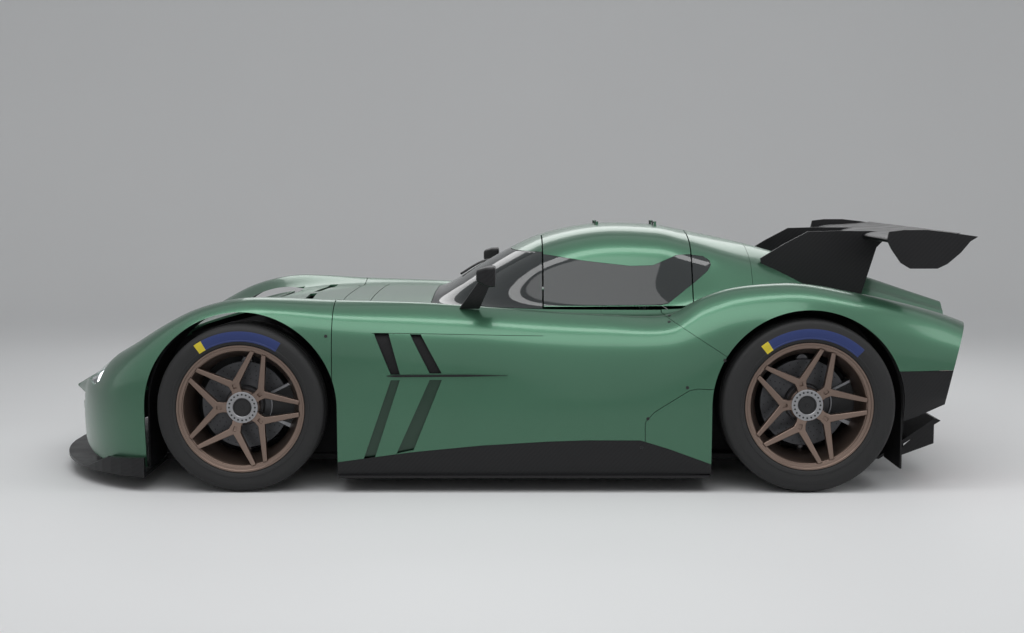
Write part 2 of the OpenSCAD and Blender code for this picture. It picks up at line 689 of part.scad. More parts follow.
// Rear wing: a curved blade with end plates that hang below it, on two swept fins.
wing_x = station(-1720);
wing_z = 1118;
wing_chord = 300;
wing_outline = [for (i = [0 : 12]) let (u = i / 12) [-u * wing_chord, 34 * u * u + 17 * sin(180 * sqrt(u))]];
wing_under = [for (i = [12 : -1 : 0]) let (u = i / 12) [-u * wing_chord,
    34 * u * u - 22 * sin(180 * sqrt(u)) * (1 - u)]];
fin_y = 260;
fin_t = 14;
module wing() {
  color(carbon) {
    translate([wing_x, 0, wing_z]) side_prism([for (p = concat(wing_outline, wing_under)) p],
      -wing_half_span + 1, wing_half_span - 1);
    mirror_y() side_prism([[station(-1691), 1120], [station(-1700), 1158], [station(-1765), 1166],
        [station(-1869), 1166],
      [station(-1960), 1156], [station(-2097), 1136], [station(-2062), 1114], [station(-2021), 1064],
      [station(-1963), 1014], [station(-1919), 993], [station(-1797), 993], [station(-1755), 1018],
          [station(-1711), 1080]],
      wing_half_span - end_plate_t, wing_half_span);
    difference() {
     mirror_y() side_prism([[station(-1228), 1008], [station(-1455), 1137], [station(-1760), 1140],
         [station(-1860), 1132],
      [station(-1790), 1060], [station(-1704), fin_foot_z - 60], [station(-1480), fin_foot_z - 40],
      [station(-1240), 960]], fin_y - fin_t / 2, fin_y + fin_t / 2);
     mirror_y() under_skin(station(-1760), station(-1180), 0, 3, depth = 120);
    }
  }
}
fin_foot_z = 840;

// Mirrors: a squared housing on a thin arm that stands on the shoulder.
mirror_y0 = 862;
module mirrors() {
  color(carbon) mirror_y() {
    hull() {
      translate([28, mirror_y0 - 66, 914]) cube([14, 150, 92]);
      translate([96, mirror_y0 - 60, 920]) cube([10, 138, 82]);
      translate([180, mirror_y0 - 10, 950]) cube([10, 60, 34]);
    }
    difference() {
      hull() {
        translate([70, mirror_y0 - 20, 930]) cube([60, 16, 8]);
        translate([124, 776, 770]) cube([96, 16, 6]);
      }
      under_skin(60, 280, 2, 4);
    }
  }
}

seat_y = 215;
module seat() {
  translate([0, 0, floor_z + floor_t]) {
    side_prism([[-40, 0], [-60, 150], [-330, 110], [-520, 640], [-470, 700], [-540, 900], [-600, 900],
        [-620, 640],
      [-430, 60], [-420, 0]], -170, 170);
    mirror_y() side_prism([[-40, 0], [-60, 210], [-300, 230], [-470, 560], [-600, 640], [-430, 60],
        [-420, 0]], 170, 195);
  }
}
module seats() {
  color([0.09, 0.09, 0.1]) for (side = [-1, 1]) translate([0, side * seat_y, 0]) seat();
}

cage_r = 20;
cage_leg_y = 480;
dash_half_w = cage_leg_y - cage_r;
wheel_hand_r = 150;
column_tilt = 20;
column_l = 32.5;
steer_pivot = [55, seat_y, 700];
// The dash faces the hand wheel across the end of its column, and stays below the bend of the cage.
dash_top_z = 772;
function dash_face(up) = [steer_pivot[0] + (column_l + joint_gap) * cos(column_tilt) + up * sin(column_tilt),
  steer_pivot[2] - (column_l + joint_gap) * sin(column_tilt) + up * cos(column_tilt)];
module dashboard() {
  color([0.09, 0.09, 0.1]) side_prism([[station(330), 560], [station(330), dash_top_z - 30],
      [station(260), dash_top_z],
    dash_face((dash_top_z - dash_face(0)[1]) / cos(column_tilt)), dash_face(-50), [station(110), 610]],
        -dash_half_w, dash_half_w);
}

module rod(a, b, r) {
  d = b - a;
  translate(a) rotate([0, acos(d[2] / norm(d)), atan2(d[1], d[0])]) cylinder(h = norm(d), r = r);
}

// A bent tube: rings of eight points along the path, turned to halve each bend.
module tube(path, r, side) {
  sides = 8;
  last = len(path) - 1;
  function unit(v) = v / norm(v);
  ring_points = [for (i = [0 : last])
    let (a = unit(path[min(i + 1, last)] - path[max(min(i + 1, last) - 1, 0)]),
        b = unit(path[max(i, 1)] - path[max(i, 1) - 1]),
      t = unit(a + b), stretch = 1 / max(0.5, t * b), across = unit(side - (side * t) * t),
          up = cross(across, t))
    for (k = [0 : sides - 1]) path[i] + r * stretch * (across * cos(k * 45 + 22.5) + up * sin(k * 45 + 22.5))];
  walls = [for (i = [0 : last - 1]) for (k = [0 : sides - 1]) let (k2 = (k + 1) % sides, p = i * sides) each
    [[p + k, p + k2, p + sides + k2], [p + k, p + sides + k2, p + sides + k]]];
  start = [for (k = [1 : sides - 2]) [0, k + 1, k]];
  end = [for (k = [1 : sides - 2]) [last * sides, last * sides + k, last * sides + k + 1]];
  polyhedron(points = ring_points, faces = concat(walls, start, end), convexity = 6);
}

cage_x = station(-648);
cage_foot_z = floor_z + floor_t + joint_gap;
hoop_half = [[cage_leg_y, cage_foot_z], [cage_leg_y, 740], [440, 880], [350, 1015], [180, 1092]];
module roll_cage() {
  color([0.12, 0.12, 0.12]) {
    tube(concat([for (p = hoop_half) [cage_x, p[0], p[1]]], [for (i = [len(hoop_half) - 1 : -1 : 0])
      [cage_x, -hoop_half[i][0], hoop_half[i][1]]]), cage_r, [1, 0, 0]);
    mirror_y() tube([[cage_x - 4, 340, 1020], [-300, 372, 1024], [-110, 385, 970], [176, cage_leg_y, 806],
        [200, cage_leg_y, 766],
      [200, cage_leg_y, cage_foot_z]], cage_r, [0, 1, 0]);
    tube([[-290, 368, 1022], [-290, -368, 1022]], cage_r - 3, [1, 0, 0]);
    tube([[cage_x, cage_leg_y - 2, 742], [cage_x, 2 - cage_leg_y, 742]], cage_r - 3, [1, 0, 0]);
  }
}

module steering_wheel() {
  color([0.08, 0.08, 0.08]) translate(steer_pivot) rotate([0, 90 + column_tilt, 0]) {
    rotate_extrude() translate([wheel_hand_r, 0]) circle(r = 14);
    for (a = [90, 210, 330]) rotate([0, 0, a]) translate([0, -14, -6]) cube([wheel_hand_r, 28, 12]);
    cylinder(h = 30, r = 34, center = true);
    cylinder(h = column_l, r = 12);
  }
}

gearbox_half_w = 170;
module engine_block() {
  color([0.3, 0.3, 0.32]) {
    translate([rear_axle_x + 160, -250, floor_z + floor_t]) cube([rear_bulkhead_x - rear_axle_x - 160, 500,
        480]);
    translate([rear_axle_x - 260, -gearbox_half_w, floor_z + floor_t]) cube([440, 2 * gearbox_half_w, 570]);
  }
}

// Wheels are drawn for the left side, about their axle, with o measured inboard from the tyre's outer face.
bead_r = rim_r - 18;
rim_edge = 10;
flange_w = 14;
hub_r = 72;
hub_in = 120;
disc_in = 150;
knuckle_in = 200;
knuckle_t = 36;
kingpin_in = 218;
kingpin_r = 20;
kingpin_h = 54;
upper_joint = 185;
lower_joint = 170;
lug_r = 26;
ball_r = 16;

module about_axle(axle_x, axle_z, side) {
  translate([axle_x, 0, axle_z]) mirror([0, side > 0 ? 0 : 1, 0]) children();
}
// Turns a profile of [radius, distance inboard] about the axle.
module turned(face_y, profile) {
  translate([0, face_y, 0]) rotate([90, 0, 0]) rotate_extrude() polygon(profile);
}

module tyre(face_y, r, w) {
  shoulder = [[rim_r + 2, 12], [rim_r + 22, 4], [(rim_r + r) / 2, 0], [r - 30, 3], [r - 12, 12], [r - 3, 34]];
  color(rubber) turned(face_y, concat([[bead_r, rim_edge + flange_w], [rim_r + 1, rim_edge + flange_w]],
      shoulder,
    [[r, w / 2]], [for (i = [len(shoulder) - 1 : -1 : 0]) [shoulder[i][0], w - shoulder[i][1]]],
    [[rim_r + 1, w - rim_edge - flange_w], [bead_r, w - rim_edge - flange_w]]));
}

module spoke_pattern() {
  difference() {
    union() {
      circle(r = hub_r);
      for (k = [0 : rim_arms - 1]) rotate(54 + k * 360 / rim_arms) {
        polygon([[-26, 40], [26, 40], [24, 112], [-24, 112]]);
        for (m = [-1, 1]) mirror([m > 0 ? 0 : 1, 0]) polygon([[4, 88], [26, 84],
          [(bead_r - 6) * sin(30) + 9, (bead_r - 6) * cos(30) - 5],
              [(bead_r - 6) * sin(30) - 10, (bead_r - 6) * cos(30) + 5]]);
      }
    }
    for (k = [0 : rim_arms - 1]) rotate(54 + k * 360 / rim_arms) translate([0, 100])
        square([13, 16], center = true);
  }
}

module rim(face_y, w) {
  color(bronze) {
    difference() {
      union() {
        turned(face_y, [[rim_r, rim_edge], [rim_r, rim_edge + flange_w], [bead_r, rim_edge + flange_w],
          [bead_r, w - rim_edge - flange_w], [rim_r, w - rim_edge - flange_w], [rim_r, w - rim_edge],
          [rim_r - 12, w - rim_edge], [bead_r - 12, w - 40], [bead_r - 12, 40], [bead_r - 4, 24],
              [rim_r - 10, rim_edge]]);
        translate([0, face_y - 38, 0]) rotate([90, 0, 0]) linear_extrude(26) spoke_pattern();
        translate([0, face_y - 40, 0]) rotate([90, 0, 0]) cylinder(h = hub_in - 40, r = hub_r);
        translate([0, face_y - 24, 0]) rotate([90, 0, 0]) cylinder(h = 20, r = 62);
      }
      translate([0, face_y - 60, 0]) rotate([90, 0, 0]) cylinder(h = hub_in, r = stub_r + hub_fit);
    }
  }
}

module disc(face_y) {
  color(steel) turned(face_y, [[stub_r + 3, hub_in], [86, hub_in], [86, disc_in], [disc_r, disc_in],
    [disc_r, disc_in + disc_t], [stub_r + 3, disc_in + disc_t]]);
}

caliper_r0 = 120;
caliper_r1 = 232;
caliper_gap = 5;
caliper_span = 54;
module upright(face_y) {
  translate([0, face_y - knuckle_in, 0]) rotate([90, 0, 0]) linear_extrude(knuckle_t) {
    circle(r = 62);
    polygon([[-40, -10], [40, -10], [lug_r, upper_joint], [-lug_r, upper_joint]]);
    polygon([[-40, 10], [40, 10], [lug_r, -lower_joint], [-lug_r, -lower_joint]]);
    translate([0, upper_joint]) circle(r = lug_r);
    translate([0, -lower_joint]) circle(r = lug_r);
    polygon([[0, -45], [0, 45], [-210, 60], [-210, -60]]);
  }
  translate([0, face_y - 62, 0]) rotate([90, 0, 0]) cylinder(h = knuckle_in - 60, r = stub_r);
  translate([0, face_y, 0]) rotate([90, 0, 0]) difference() {
    rotate([0, 0, 180 - caliper_span / 2]) rotate_extrude(angle = caliper_span)
      translate([caliper_r0, disc_in - 16]) square([caliper_r1 - caliper_r0, knuckle_in - disc_in + 18]);
    translate([0, 0, disc_in - caliper_gap]) cylinder(h = disc_t + 2 * caliper_gap, r = disc_r + caliper_gap);
  }
}

rod_end_gap = 3.8;
module wishbone(face_y, up, inner_y) {
  z = up > 0 ? upper_joint + lug_r + ball_r + joint_gap : -lower_joint - lug_r - ball_r - joint_gap;
  tip = [0, face_y - kingpin_in, z];
  translate(tip) sphere(r = ball_r);
  for (m = [-150, 150]) rod(tip, [m, inner_y, z * 0.9], 11);
}

module front_suspension() {
  color(steel) mirror_y() translate([front_axle_x, 0, front_tyre_r]) {
    wishbone(front_face_y, -1, keel_half_w + rod_end_gap);
    wishbone(front_face_y, 1, keel_half_w + rod_end_gap);
  }
}

module rear_suspension() {
  color(steel) mirror_y() translate([rear_axle_x, 0, rear_tyre_r]) {
    upright(rear_face_y);
    wishbone(rear_face_y, -1, gearbox_half_w + rod_end_gap);
    wishbone(rear_face_y, 1, gearbox_half_w + rod_end_gap);
    translate([0, rear_face_y - knuckle_in - 20, 0]) rotate([90, 0, 0])
        cylinder(h = rear_face_y - knuckle_in - 20 - gearbox_half_w - joint_gap, r = 20);
  }
}

module knuckle(side) {
  color(steel) about_axle(front_axle_x, front_tyre_r, side) {
    upright(front_face_y);
    for (z = [upper_joint + lug_r - kingpin_h, -lower_joint - lug_r])
      translate([0, front_face_y - kingpin_in, z]) cylinder(h = kingpin_h, r = kingpin_r);
  }
}

module knuckle_left() {
  knuckle(1);
}

module knuckle_right() {
  knuckle(-1);
}

module front_wheel_at(side) {
  about_axle(front_axle_x, front_tyre_r, side) children();
}

module rear_wheel_at(side) {
  about_axle(rear_axle_x, rear_tyre_r, side) children();
}

module rim_front_left() {
  front_wheel_at(1) rim(front_face_y, front_tyre_w);
}

module tyre_front_left() {
  front_wheel_at(1) tyre(front_face_y, front_tyre_r, front_tyre_w);
}

module disc_front_left() {
  front_wheel_at(1) disc(front_face_y);
}

module rim_front_right() {
  front_wheel_at(-1) rim(front_face_y, front_tyre_w);
}

module tyre_front_right() {
  front_wheel_at(-1) tyre(front_face_y, front_tyre_r, front_tyre_w);
}

module disc_front_right() {
  front_wheel_at(-1) disc(front_face_y);
}

module rim_rear_left() {
  rear_wheel_at(1) rim(rear_face_y, rear_tyre_w);
}

module tyre_rear_left() {
  rear_wheel_at(1) tyre(rear_face_y, rear_tyre_r, rear_tyre_w);
}

module disc_rear_left() {
  rear_wheel_at(1) disc(rear_face_y);
}

module rim_rear_right() {
  rear_wheel_at(-1) rim(rear_face_y, rear_tyre_w);
}

module tyre_rear_right() {
  rear_wheel_at(-1) tyre(rear_face_y, rear_tyre_r, rear_tyre_w);
}

module disc_rear_right() {
  rear_wheel_at(-1) disc(rear_face_y);
}

tub();
nose_clip();
cowl();
windscreen();
roof();
side_panels();
rear_clip();
door_left();
door_right();
door_glass_left();
door_glass_right();
quarter_glass();
headlights();
taillights();
mirrors();
splitter();
front_grille();
sill_blades();
side_vents();
wheel_liners();
wing();
diffuser();
rear_valances();
rear_panel();
seats();
dashboard();
roll_cage();
steering_wheel();
engine_block();
front_suspension();
rear_suspension();
knuckle_left();
knuckle_right();
rim_front_left();
tyre_front_left();
disc_front_left();
rim_front_right();
tyre_front_right();
disc_front_right();
rim_rear_left();
tyre_rear_left();
disc_rear_left();
rim_rear_right();
tyre_rear_right();
disc_rear_right();
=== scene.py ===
"""Looks of a closed racing hypercar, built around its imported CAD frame."""
import math

import bmesh
import bpy
import numpy as np
from bpy.props import FloatProperty, FloatVectorProperty, PointerProperty
from mathutils import Matrix, Vector


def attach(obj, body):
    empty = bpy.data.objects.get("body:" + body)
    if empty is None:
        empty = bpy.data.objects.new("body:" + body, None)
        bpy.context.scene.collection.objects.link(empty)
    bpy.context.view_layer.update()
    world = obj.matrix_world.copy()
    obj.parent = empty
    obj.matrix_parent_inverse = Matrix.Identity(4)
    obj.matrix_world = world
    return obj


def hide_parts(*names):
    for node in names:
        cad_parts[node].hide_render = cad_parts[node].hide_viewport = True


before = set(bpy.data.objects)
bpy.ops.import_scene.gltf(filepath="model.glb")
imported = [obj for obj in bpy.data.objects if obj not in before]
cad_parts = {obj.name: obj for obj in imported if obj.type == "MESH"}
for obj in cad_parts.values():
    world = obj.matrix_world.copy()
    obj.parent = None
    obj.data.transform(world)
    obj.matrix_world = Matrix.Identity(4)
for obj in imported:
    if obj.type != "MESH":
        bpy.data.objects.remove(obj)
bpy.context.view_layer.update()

bl_info = {
    "name": "Track hypercar looks",
    "version": (1, 0, 0),
    "blender": (4, 5, 0),
    "location": "View3D > Sidebar > Hypercar",
    "description": "Panels, glass, wheels and trim of a closed racing hypercar around its CAD frame",
    "category": "Add Mesh",
}

# Shapes are modelled in millimetres, and their meshes end in metres.
MM = 0.001
NOSE_X = 2176.0
TAIL_X = -2176.0
FRONT_AXLE_X = 1182.0
REAR_AXLE_X = -1338.0
NOSE_ROUND_X = FRONT_AXLE_X + 318.0
NOSE_POWER = 1.8
BEAK_L = 86.0
BUMPER_X = NOSE_X - BEAK_L
BEAK_ROOT_W = 0.42
CLIP_X = 775.0
SCREEN_BASE_X = 353.0
DOOR_FRONT_X = -170.0
DOOR_REAR_X = -868.0
ROOF_REAR_X = -1172.0
ROOF_RAIL_Y = 437.0
DOOR_TOP_LINE = 105.0 / ROOF_RAIL_Y
DOOR_GAP = 6.0
HINGE_X = (-440.0, -727.0)
HINGE_Y = 102.0
HINGE_Z = 1176.0
SCREEN_TOP_Z = 1046.0
DOOR_SILL_Z = 803.0
PANEL_T = 10.0
FRONT_TYRE_R = 376.0
REAR_TYRE_R = 388.0
FRONT_AXLE = (FRONT_AXLE_X, FRONT_TYRE_R)
REAR_AXLE = (REAR_AXLE_X, REAR_TYRE_R)
ARCH_R = 428.0
ARCH_Y = 515.0
BASE = 2.0
LINE_SEAM = 0.008
HEM = 6.0
VALANCE_Z = 544.0
SIDE_REACH = 1300.0

# Where the bonnet outlets start, and how far inboard of the tyre's outer face the hub of the dished rim lies.
LOUVRE_X = (1165.0, 985.0)
HUB_IN = 64.0
ARM_SHEAR = 0.26

# Name, axle x, outer face y, radius, width, side and the bodies that spin and that carry the caliper.
WHEELS = (
    ("front_left", FRONT_AXLE_X, 965.0, FRONT_TYRE_R, 300.0, 1, "wheel_front_left", "steered_left"),
    ("front_right", FRONT_AXLE_X, 965.0, FRONT_TYRE_R, 300.0, -1, "wheel_front_right", "steered_right"),
    ("rear_left", REAR_AXLE_X, 976.0, REAR_TYRE_R, 350.0, 1, "wheel_rear_left", "chassis"),
    ("rear_right", REAR_AXLE_X, 976.0, REAR_TYRE_R, 350.0, -1, "wheel_rear_right", "chassis"),
)

# Stations from the nose back: x, crown z, then y and z of the rail, base, crest, flank, sill and hem.
STATIONS = (
    (2176, 356, 250, 354, 500, 350, 790, 345, 900, 335, 930, 322, 900, 306),
    (2090, 408, 250, 404, 500, 396, 790, 392, 920, 350, 960, 290, 930, 235),
    (1990, 455, 250, 450, 500, 440, 790, 448, 925, 385, 965, 270, 940, 150),
    (1900, 505, 250, 497, 505, 490, 790, 508, 930, 430, 970, 290, 940, 115),
    (1800, 556, 250, 547, 510, 545, 785, 583, 935, 500, 970, 330, 940, 108),
    (1700, 606, 250, 597, 515, 598, 785, 640, 940, 560, 970, 370, 940, 108),
    (1550, 672, 255, 663, 520, 668, 785, 733, 943, 640, 972, 400, 940, 110),
    (1400, 728, 260, 722, 525, 728, 788, 808, 948, 715, 975, 420, 940, 115),
    (1200, 785, 270, 780, 535, 785, 795, 856, 950, 755, 975, 430, 940, 120),
    (1000, 818, 280, 815, 545, 812, 795, 855, 948, 750, 968, 430, 940, 90),
    (800, 828, 290, 826, 560, 820, 790, 842, 938, 730, 957, 430, 940, 76),
    (600, 832, 300, 829, 580, 822, 780, 834, 922, 712, 942, 425, 935, 76),
    (400, 834, 315, 830, 600, 819, 772, 826, 908, 700, 932, 420, 930, 76),
    (330, 845, 328, 838, 612, 815, 770, 822, 904, 696, 929, 420, 930, 76),
    (161, 948, 372, 915, 625, 806, 768, 812, 898, 688, 925, 418, 930, 76),
    (-14, 1047, 408, 995, 632, 798, 766, 800, 894, 678, 925, 418, 930, 76),
    (-180, 1119, 425, 1060, 632, 793, 766, 787, 890, 668, 926, 418, 930, 76),
    (-440, 1168, 430, 1105, 625, 790, 768, 773, 888, 660, 928, 418, 930, 76),
    (-730, 1163, 415, 1098, 600, 788, 775, 772, 902, 668, 938, 420, 932, 76),
    (-860, 1140, 394, 1072, 578, 794, 785, 846, 920, 700, 950, 428, 938, 80),
    (-1000, 1112, 360, 1038, 535, 808, 792, 898, 942, 752, 964, 440, 948, 95),
    (-1190, 1068, 290, 988, 470, 815, 800, 922, 962, 785, 980, 455, 955, 175),
    (-1340, 1026, 240, 952, 425, 808, 800, 922, 968, 790, 982, 460, 955, 215),
    (-1550, 970, 180, 905, 370, 790, 795, 885, 958, 765, 972, 460, 945, 270),
    (-1790, 905, 130, 850, 305, 762, 770, 832, 925, 715, 945, 460, 918, 322),
    (-2000, 835, 100, 790, 250, 730, 720, 772, 885, 665, 905, 465, 880, 400),
    (-2176, 777, 85, 740, 210, 700, 660, 705, 850, 625, 870, 470, 850, 440),
)

# Side-view outlines, x and z.
WINDOW = ((-140, 1040), (-202, 1034), (-360, 1010), (-575, 986), (-683, 988), (-800, 1034), (-836, 1036), (-900, 1036),
          (-900, 921), (-749, 812), (-712, 806), (-140, 806))
WINDOW_EDGE = ((-130, 1046), (-204, 1039), (-362, 1015), (-575, 991), (-682, 993), (-800, 1039), (-836, 1041),
               (-910, 1041), (-910, 921), (-752, 807), (-714, 801), (-130, 801))
WINDOW_CLEAR = ((-222, 996), (-380, 984), (-575, 962), (-690, 962), (-742, 930), (-742, 880), (-700, 846), (-222, 842))
QUARTER = ((-860, 1036), (-930, 1026), (-962, 1006), (-966, 984), (-948, 958), (-860, 890))
SKIRT = ((850, 20), (751, 136), (430, 178), (116, 208), (-180, 226), (-358, 232), (-595, 232), (-715, 196),
         (-1010, 90), (-1010, 20))
REAR_SPLIT = ((-714, 960), (-714, 776), (-983, 603), (-983, 30))
VENTS = (((590, 710), (525, 710), (474, 527), (515, 527)), ((431, 705), (383, 704), (289, 531), (343, 531)))
SLATS = (((515, 503), (475, 503), (600, 118), (655, 100)), ((343, 503), (289, 503), (416, 188), (492, 172)))
LOW_SEAM = ((-617, 40), (-615, 312), (-657, 360), (-810, 457), (-845, 465), (-928, 462))
MOUTH = ((NOSE_X + 50, 346), (BUMPER_X - 64, 346), (BUMPER_X - 56, 316), (BUMPER_X + 3, 300), (BUMPER_X + 3, 0),
         (NOSE_X + 50, 0))
CREASE = ((600, 711), (420, 708), (200, 702), (0, 697), (-160, 694))
SCREWS = ((-729, 752), (-962, 594), (-735, 775), (-627, 330), (-800, 470), (795, 835), (800, 700), (-600, 200))


END_PLATE = ((-1691, 1120), (-1700, 1158), (-1765, 1166), (-1869, 1166), (-1960, 1156), (-2097, 1136), (-2062, 1114),
             (-2021, 1064), (-1963, 1014), (-1919, 993), (-1797, 993), (-1755, 1018), (-1711, 1080))
FIN = ((-1228, 1008), (-1340, 1076), (-1455, 1137), (-1600, 1141), (-1760, 1140), (-1860, 1132), (-1790, 1060),
       (-1704, 780), (-1480, 800), (-1240, 900))

# Sections of a mirror's head: x, then its low and high y and z.
MIRROR_SECTIONS = ((50, 796, 946, 914, 1006), (95, 800, 942, 920, 1003), (136, 838, 920, 938, 990))


class BodySurface:
    """The outer surface of the body: a point for each station x and line s, from the crown at 0 to the hem at 6."""

    STEP = 4.0
    SMOOTHING = 24.0

    def __init__(self, stations):
        rows = np.array(stations, float)[::-1]
        x = rows[:, 0]
        self.x0 = x[0]
        grid = np.arange(x[0], x[-1] + 1, self.STEP)
        slopes = np.empty_like(rows)
        slopes[1:-1] = (rows[2:] - rows[:-2]) / (x[2:] - x[:-2])[:, None]
        slopes[0] = (rows[1] - rows[0]) / (x[1] - x[0])
        slopes[-1] = (rows[-1] - rows[-2]) / (x[-1] - x[-2])
        i = np.clip(np.searchsorted(x, grid, side="right") - 1, 0, len(x) - 2)
        d = (x[i + 1] - x[i])[:, None]
        u = (grid - x[i])[:, None] / d
        lines = ((2 * u**3 - 3 * u**2 + 1) * rows[i] + (3 * u**2 - 2 * u**3) * rows[i + 1]
                 + (u**3 - 2 * u**2 + u) * d * slopes[i] + (u**3 - u**2) * d * slopes[i + 1])
        reach = int(3 * self.SMOOTHING / self.STEP)
        kernel = np.exp(-0.5 * (np.arange(-reach, reach + 1) * self.STEP / self.SMOOTHING) ** 2)
        kernel /= kernel.sum()
        ends = np.vstack([2 * lines[0] - lines[reach:0:-1], lines, 2 * lines[-1] - lines[-2:-reach - 2:-1]])
        lines = np.stack([np.convolve(ends[:, c], kernel, "valid") for c in range(lines.shape[1])], 1)
        y = np.column_stack([np.zeros(len(grid)), lines[:, 2::2]])
        z = np.column_stack([lines[:, 1], lines[:, 3::2]])
        self.y = np.column_stack([-y[:, 1], y, 2 * y[:, -1] - y[:, -2]])
        self.z = np.column_stack([z[:, 1], z, 2 * z[:, -1] - z[:, -2]])

    @staticmethod
    def nose_width(x):
        """How much of its full width the rounded nose has at x."""
        u = np.clip((x - NOSE_ROUND_X) / (BUMPER_X - NOSE_ROUND_X), 0.0, 1.0)
        beak = BEAK_ROOT_W * np.clip((NOSE_X - x) / (2 * BEAK_L), 0.0, 1.0)
        return np.maximum(np.sqrt(np.maximum(0.0, 1.0 - u**NOSE_POWER)), beak)

    def point(self, x, s):
        """Points in millimetres, with a negative s on the right half."""
        x, s = np.broadcast_arrays(np.asarray(x, float), np.asarray(s, float))
        side = np.where(s < 0, -1.0, 1.0)
        a = np.abs(s)
        k = np.clip(np.floor(a).astype(int), 0, 5)
        t = a - k
        place = np.clip((x - self.x0) / self.STEP, 0, len(self.y) - 1.001)
        i = place.astype(int)
        f = place - i

        def blended(table):
            p = [table[i, k + n] * (1 - f) + table[i + 1, k + n] * f for n in range(4)]
            return 0.5 * (2 * p[1] + (p[2] - p[0]) * t + (2 * p[0] - 5 * p[1] + 4 * p[2] - p[3]) * t**2
                          + (3 * p[1] - p[0] - 3 * p[2] + p[3]) * t**3)

        return np.stack([x, side * self.nose_width(x) * blended(self.y), blended(self.z)], -1)

    def normal(self, x, s):
        """Unit normals that point out of the car."""
        x, s = np.broadcast_arrays(np.asarray(x, float), np.asarray(s, float))
        along = self.point(np.minimum(x + 6, NOSE_X - 0.5), s) - self.point(np.maximum(x - 6, TAIL_X), s)
        across = self.point(x, np.minimum(s + 0.05, HEM)) - self.point(x, np.maximum(s - 0.05, -HEM))
        n = np.cross(along, across)
        return n / np.maximum(np.linalg.norm(n, axis=-1, keepdims=True), 1e-9)

    def line_at(self, x, z, low=2.0, high=6.0):
        """The line s of the left flank that is z high at x."""
        s = np.linspace(low, high, 200)
        heights = self.point(x, s)[:, 2]
        return float(np.interp(-z, -heights, s))


BODY = BodySurface(STATIONS)


# Shader sockets as Python values.
class Value:
    """A socket of a shader. Arithmetic on it adds Math nodes."""

    def __init__(self, finish, socket):
        self.finish = finish
        self.socket = socket

    def math(self, operation, *others):
        """One Math node on this value and the others."""
        return self.finish.node("ShaderNodeMath", {"operation": operation}, dict(enumerate((self,) + others)))

    def __add__(self, other):
        return self.math("ADD", other)

    __radd__ = __add__

    def __mul__(self, other):
        return self.math("MULTIPLY", other)

    __rmul__ = __mul__

    def __sub__(self, other):
        return self.math("SUBTRACT", other)

    def __rsub__(self, other):
        return (self * -1.0) + other

    def __truediv__(self, other):
        return self.math("DIVIDE", other)

    def __gt__(self, other):
        return self.math("GREATER_THAN", other)

    def __lt__(self, other):
        return self.math("LESS_THAN", other)

    def __abs__(self):
        return self.math("ABSOLUTE")


class Tree:
    """The nodes of a material or a world, which all come from one method."""

    def __init__(self, owner):
        owner.use_nodes = True
        self.tree = owner.node_tree
        self.tree.nodes.clear()

    def node(self, kind, settings=None, inputs=None, out=0):
        """Adds a node: its settings first, then the values or links of its sockets."""
        node = self.tree.nodes.new(kind)
        for key, value in (settings or {}).items():
            setattr(node, key, value)
        for key, value in (inputs or {}).items():
            if isinstance(value, Value):
                self.tree.links.new(value.socket, node.inputs[key])
            else:
                node.inputs[key].default_value = value
        return Value(self, node.outputs[out]) if node.outputs else None


class Finish(Tree):
    """A material with the textures and colours that the finishes share."""

    def __init__(self, name, slot):
        self.slot = slot
        self.material = bpy.data.materials.new(name)
        super().__init__(self.material)

    def place(self):
        """Object coordinates."""
        return self.node("ShaderNodeTexCoord", out="Object")

    def axes(self, place=None):
        """The three coordinates as values."""
        split = self.node("ShaderNodeSeparateXYZ", inputs={0: place or self.place()}).socket.node
        return [Value(self, split.outputs[i]) for i in range(3)]

    def noise(self, scale, detail):
        """Noise from 0 to 1."""
        inputs = {"Vector": self.place(), "Scale": scale, "Detail": detail, "Roughness": 0.5}
        return self.node("ShaderNodeTexNoise", None, inputs)

    def range(self, value, low, high, to_low, to_high):
        """Carries low to high onto another range, held at its ends."""
        return self.node("ShaderNodeMapRange", {"clamp": True}, {
            "Value": value, "From Min": low, "From Max": high, "To Min": to_low, "To Max": to_high})

    def mix(self, factor, a, b):
        """Mixes two colours."""
        colours = {k: c if isinstance(c, Value) else tuple(c) + (1.0,) for k, c in ((6, a), (7, b))}
        return self.node("ShaderNodeMix", {"data_type": "RGBA"}, {0: factor, **colours}, out=2)

    def bump(self, height, strength, distance):
        """A Bump node's normal."""
        return self.node("ShaderNodeBump", None, {"Height": height, "Strength": strength, "Distance": distance})

    def surface(self, **inputs):
        """A Principled shader, joined to the output."""
        names = {key.replace("_", " "): value for key, value in inputs.items()}
        for key, value in names.items():
            if isinstance(value, tuple) and len(value) == 3:
                names[key] = value + (1.0,)
        shader = self.node("ShaderNodeBsdfPrincipled", None, names)
        self.node("ShaderNodeOutputMaterial", None, {"Surface": shader})
        return self.material


def brighter(colour, factor):
    """A colour scaled and held under 1."""
    return tuple(min(1.0, c * factor) for c in colour[:3])


def paint_finish(colour, name="Satin metallic paint"):
    """Satin metallic paint with fine flakes under a clear coat."""
    f = Finish(name, "paint")
    flakes = f.noise(2600.0, 1.0)
    drift = f.noise(1.7, 2.0)
    tone = f.mix(f.range(drift, 0.3, 0.7, 0.0, 1.0), brighter(colour, 0.94), brighter(colour, 1.06))
    base = f.mix(f.range(flakes, 0.35, 0.75, 0.0, 1.0), tone, brighter(colour, 1.3))
    rough = f.range(flakes, 0.3, 0.7, 0.27, 0.36)
    f.surface(Base_Color=base, Roughness=rough, Metallic=0.72, Coat_Weight=0.55, Coat_Roughness=0.10, Coat_IOR=1.5)
    return f


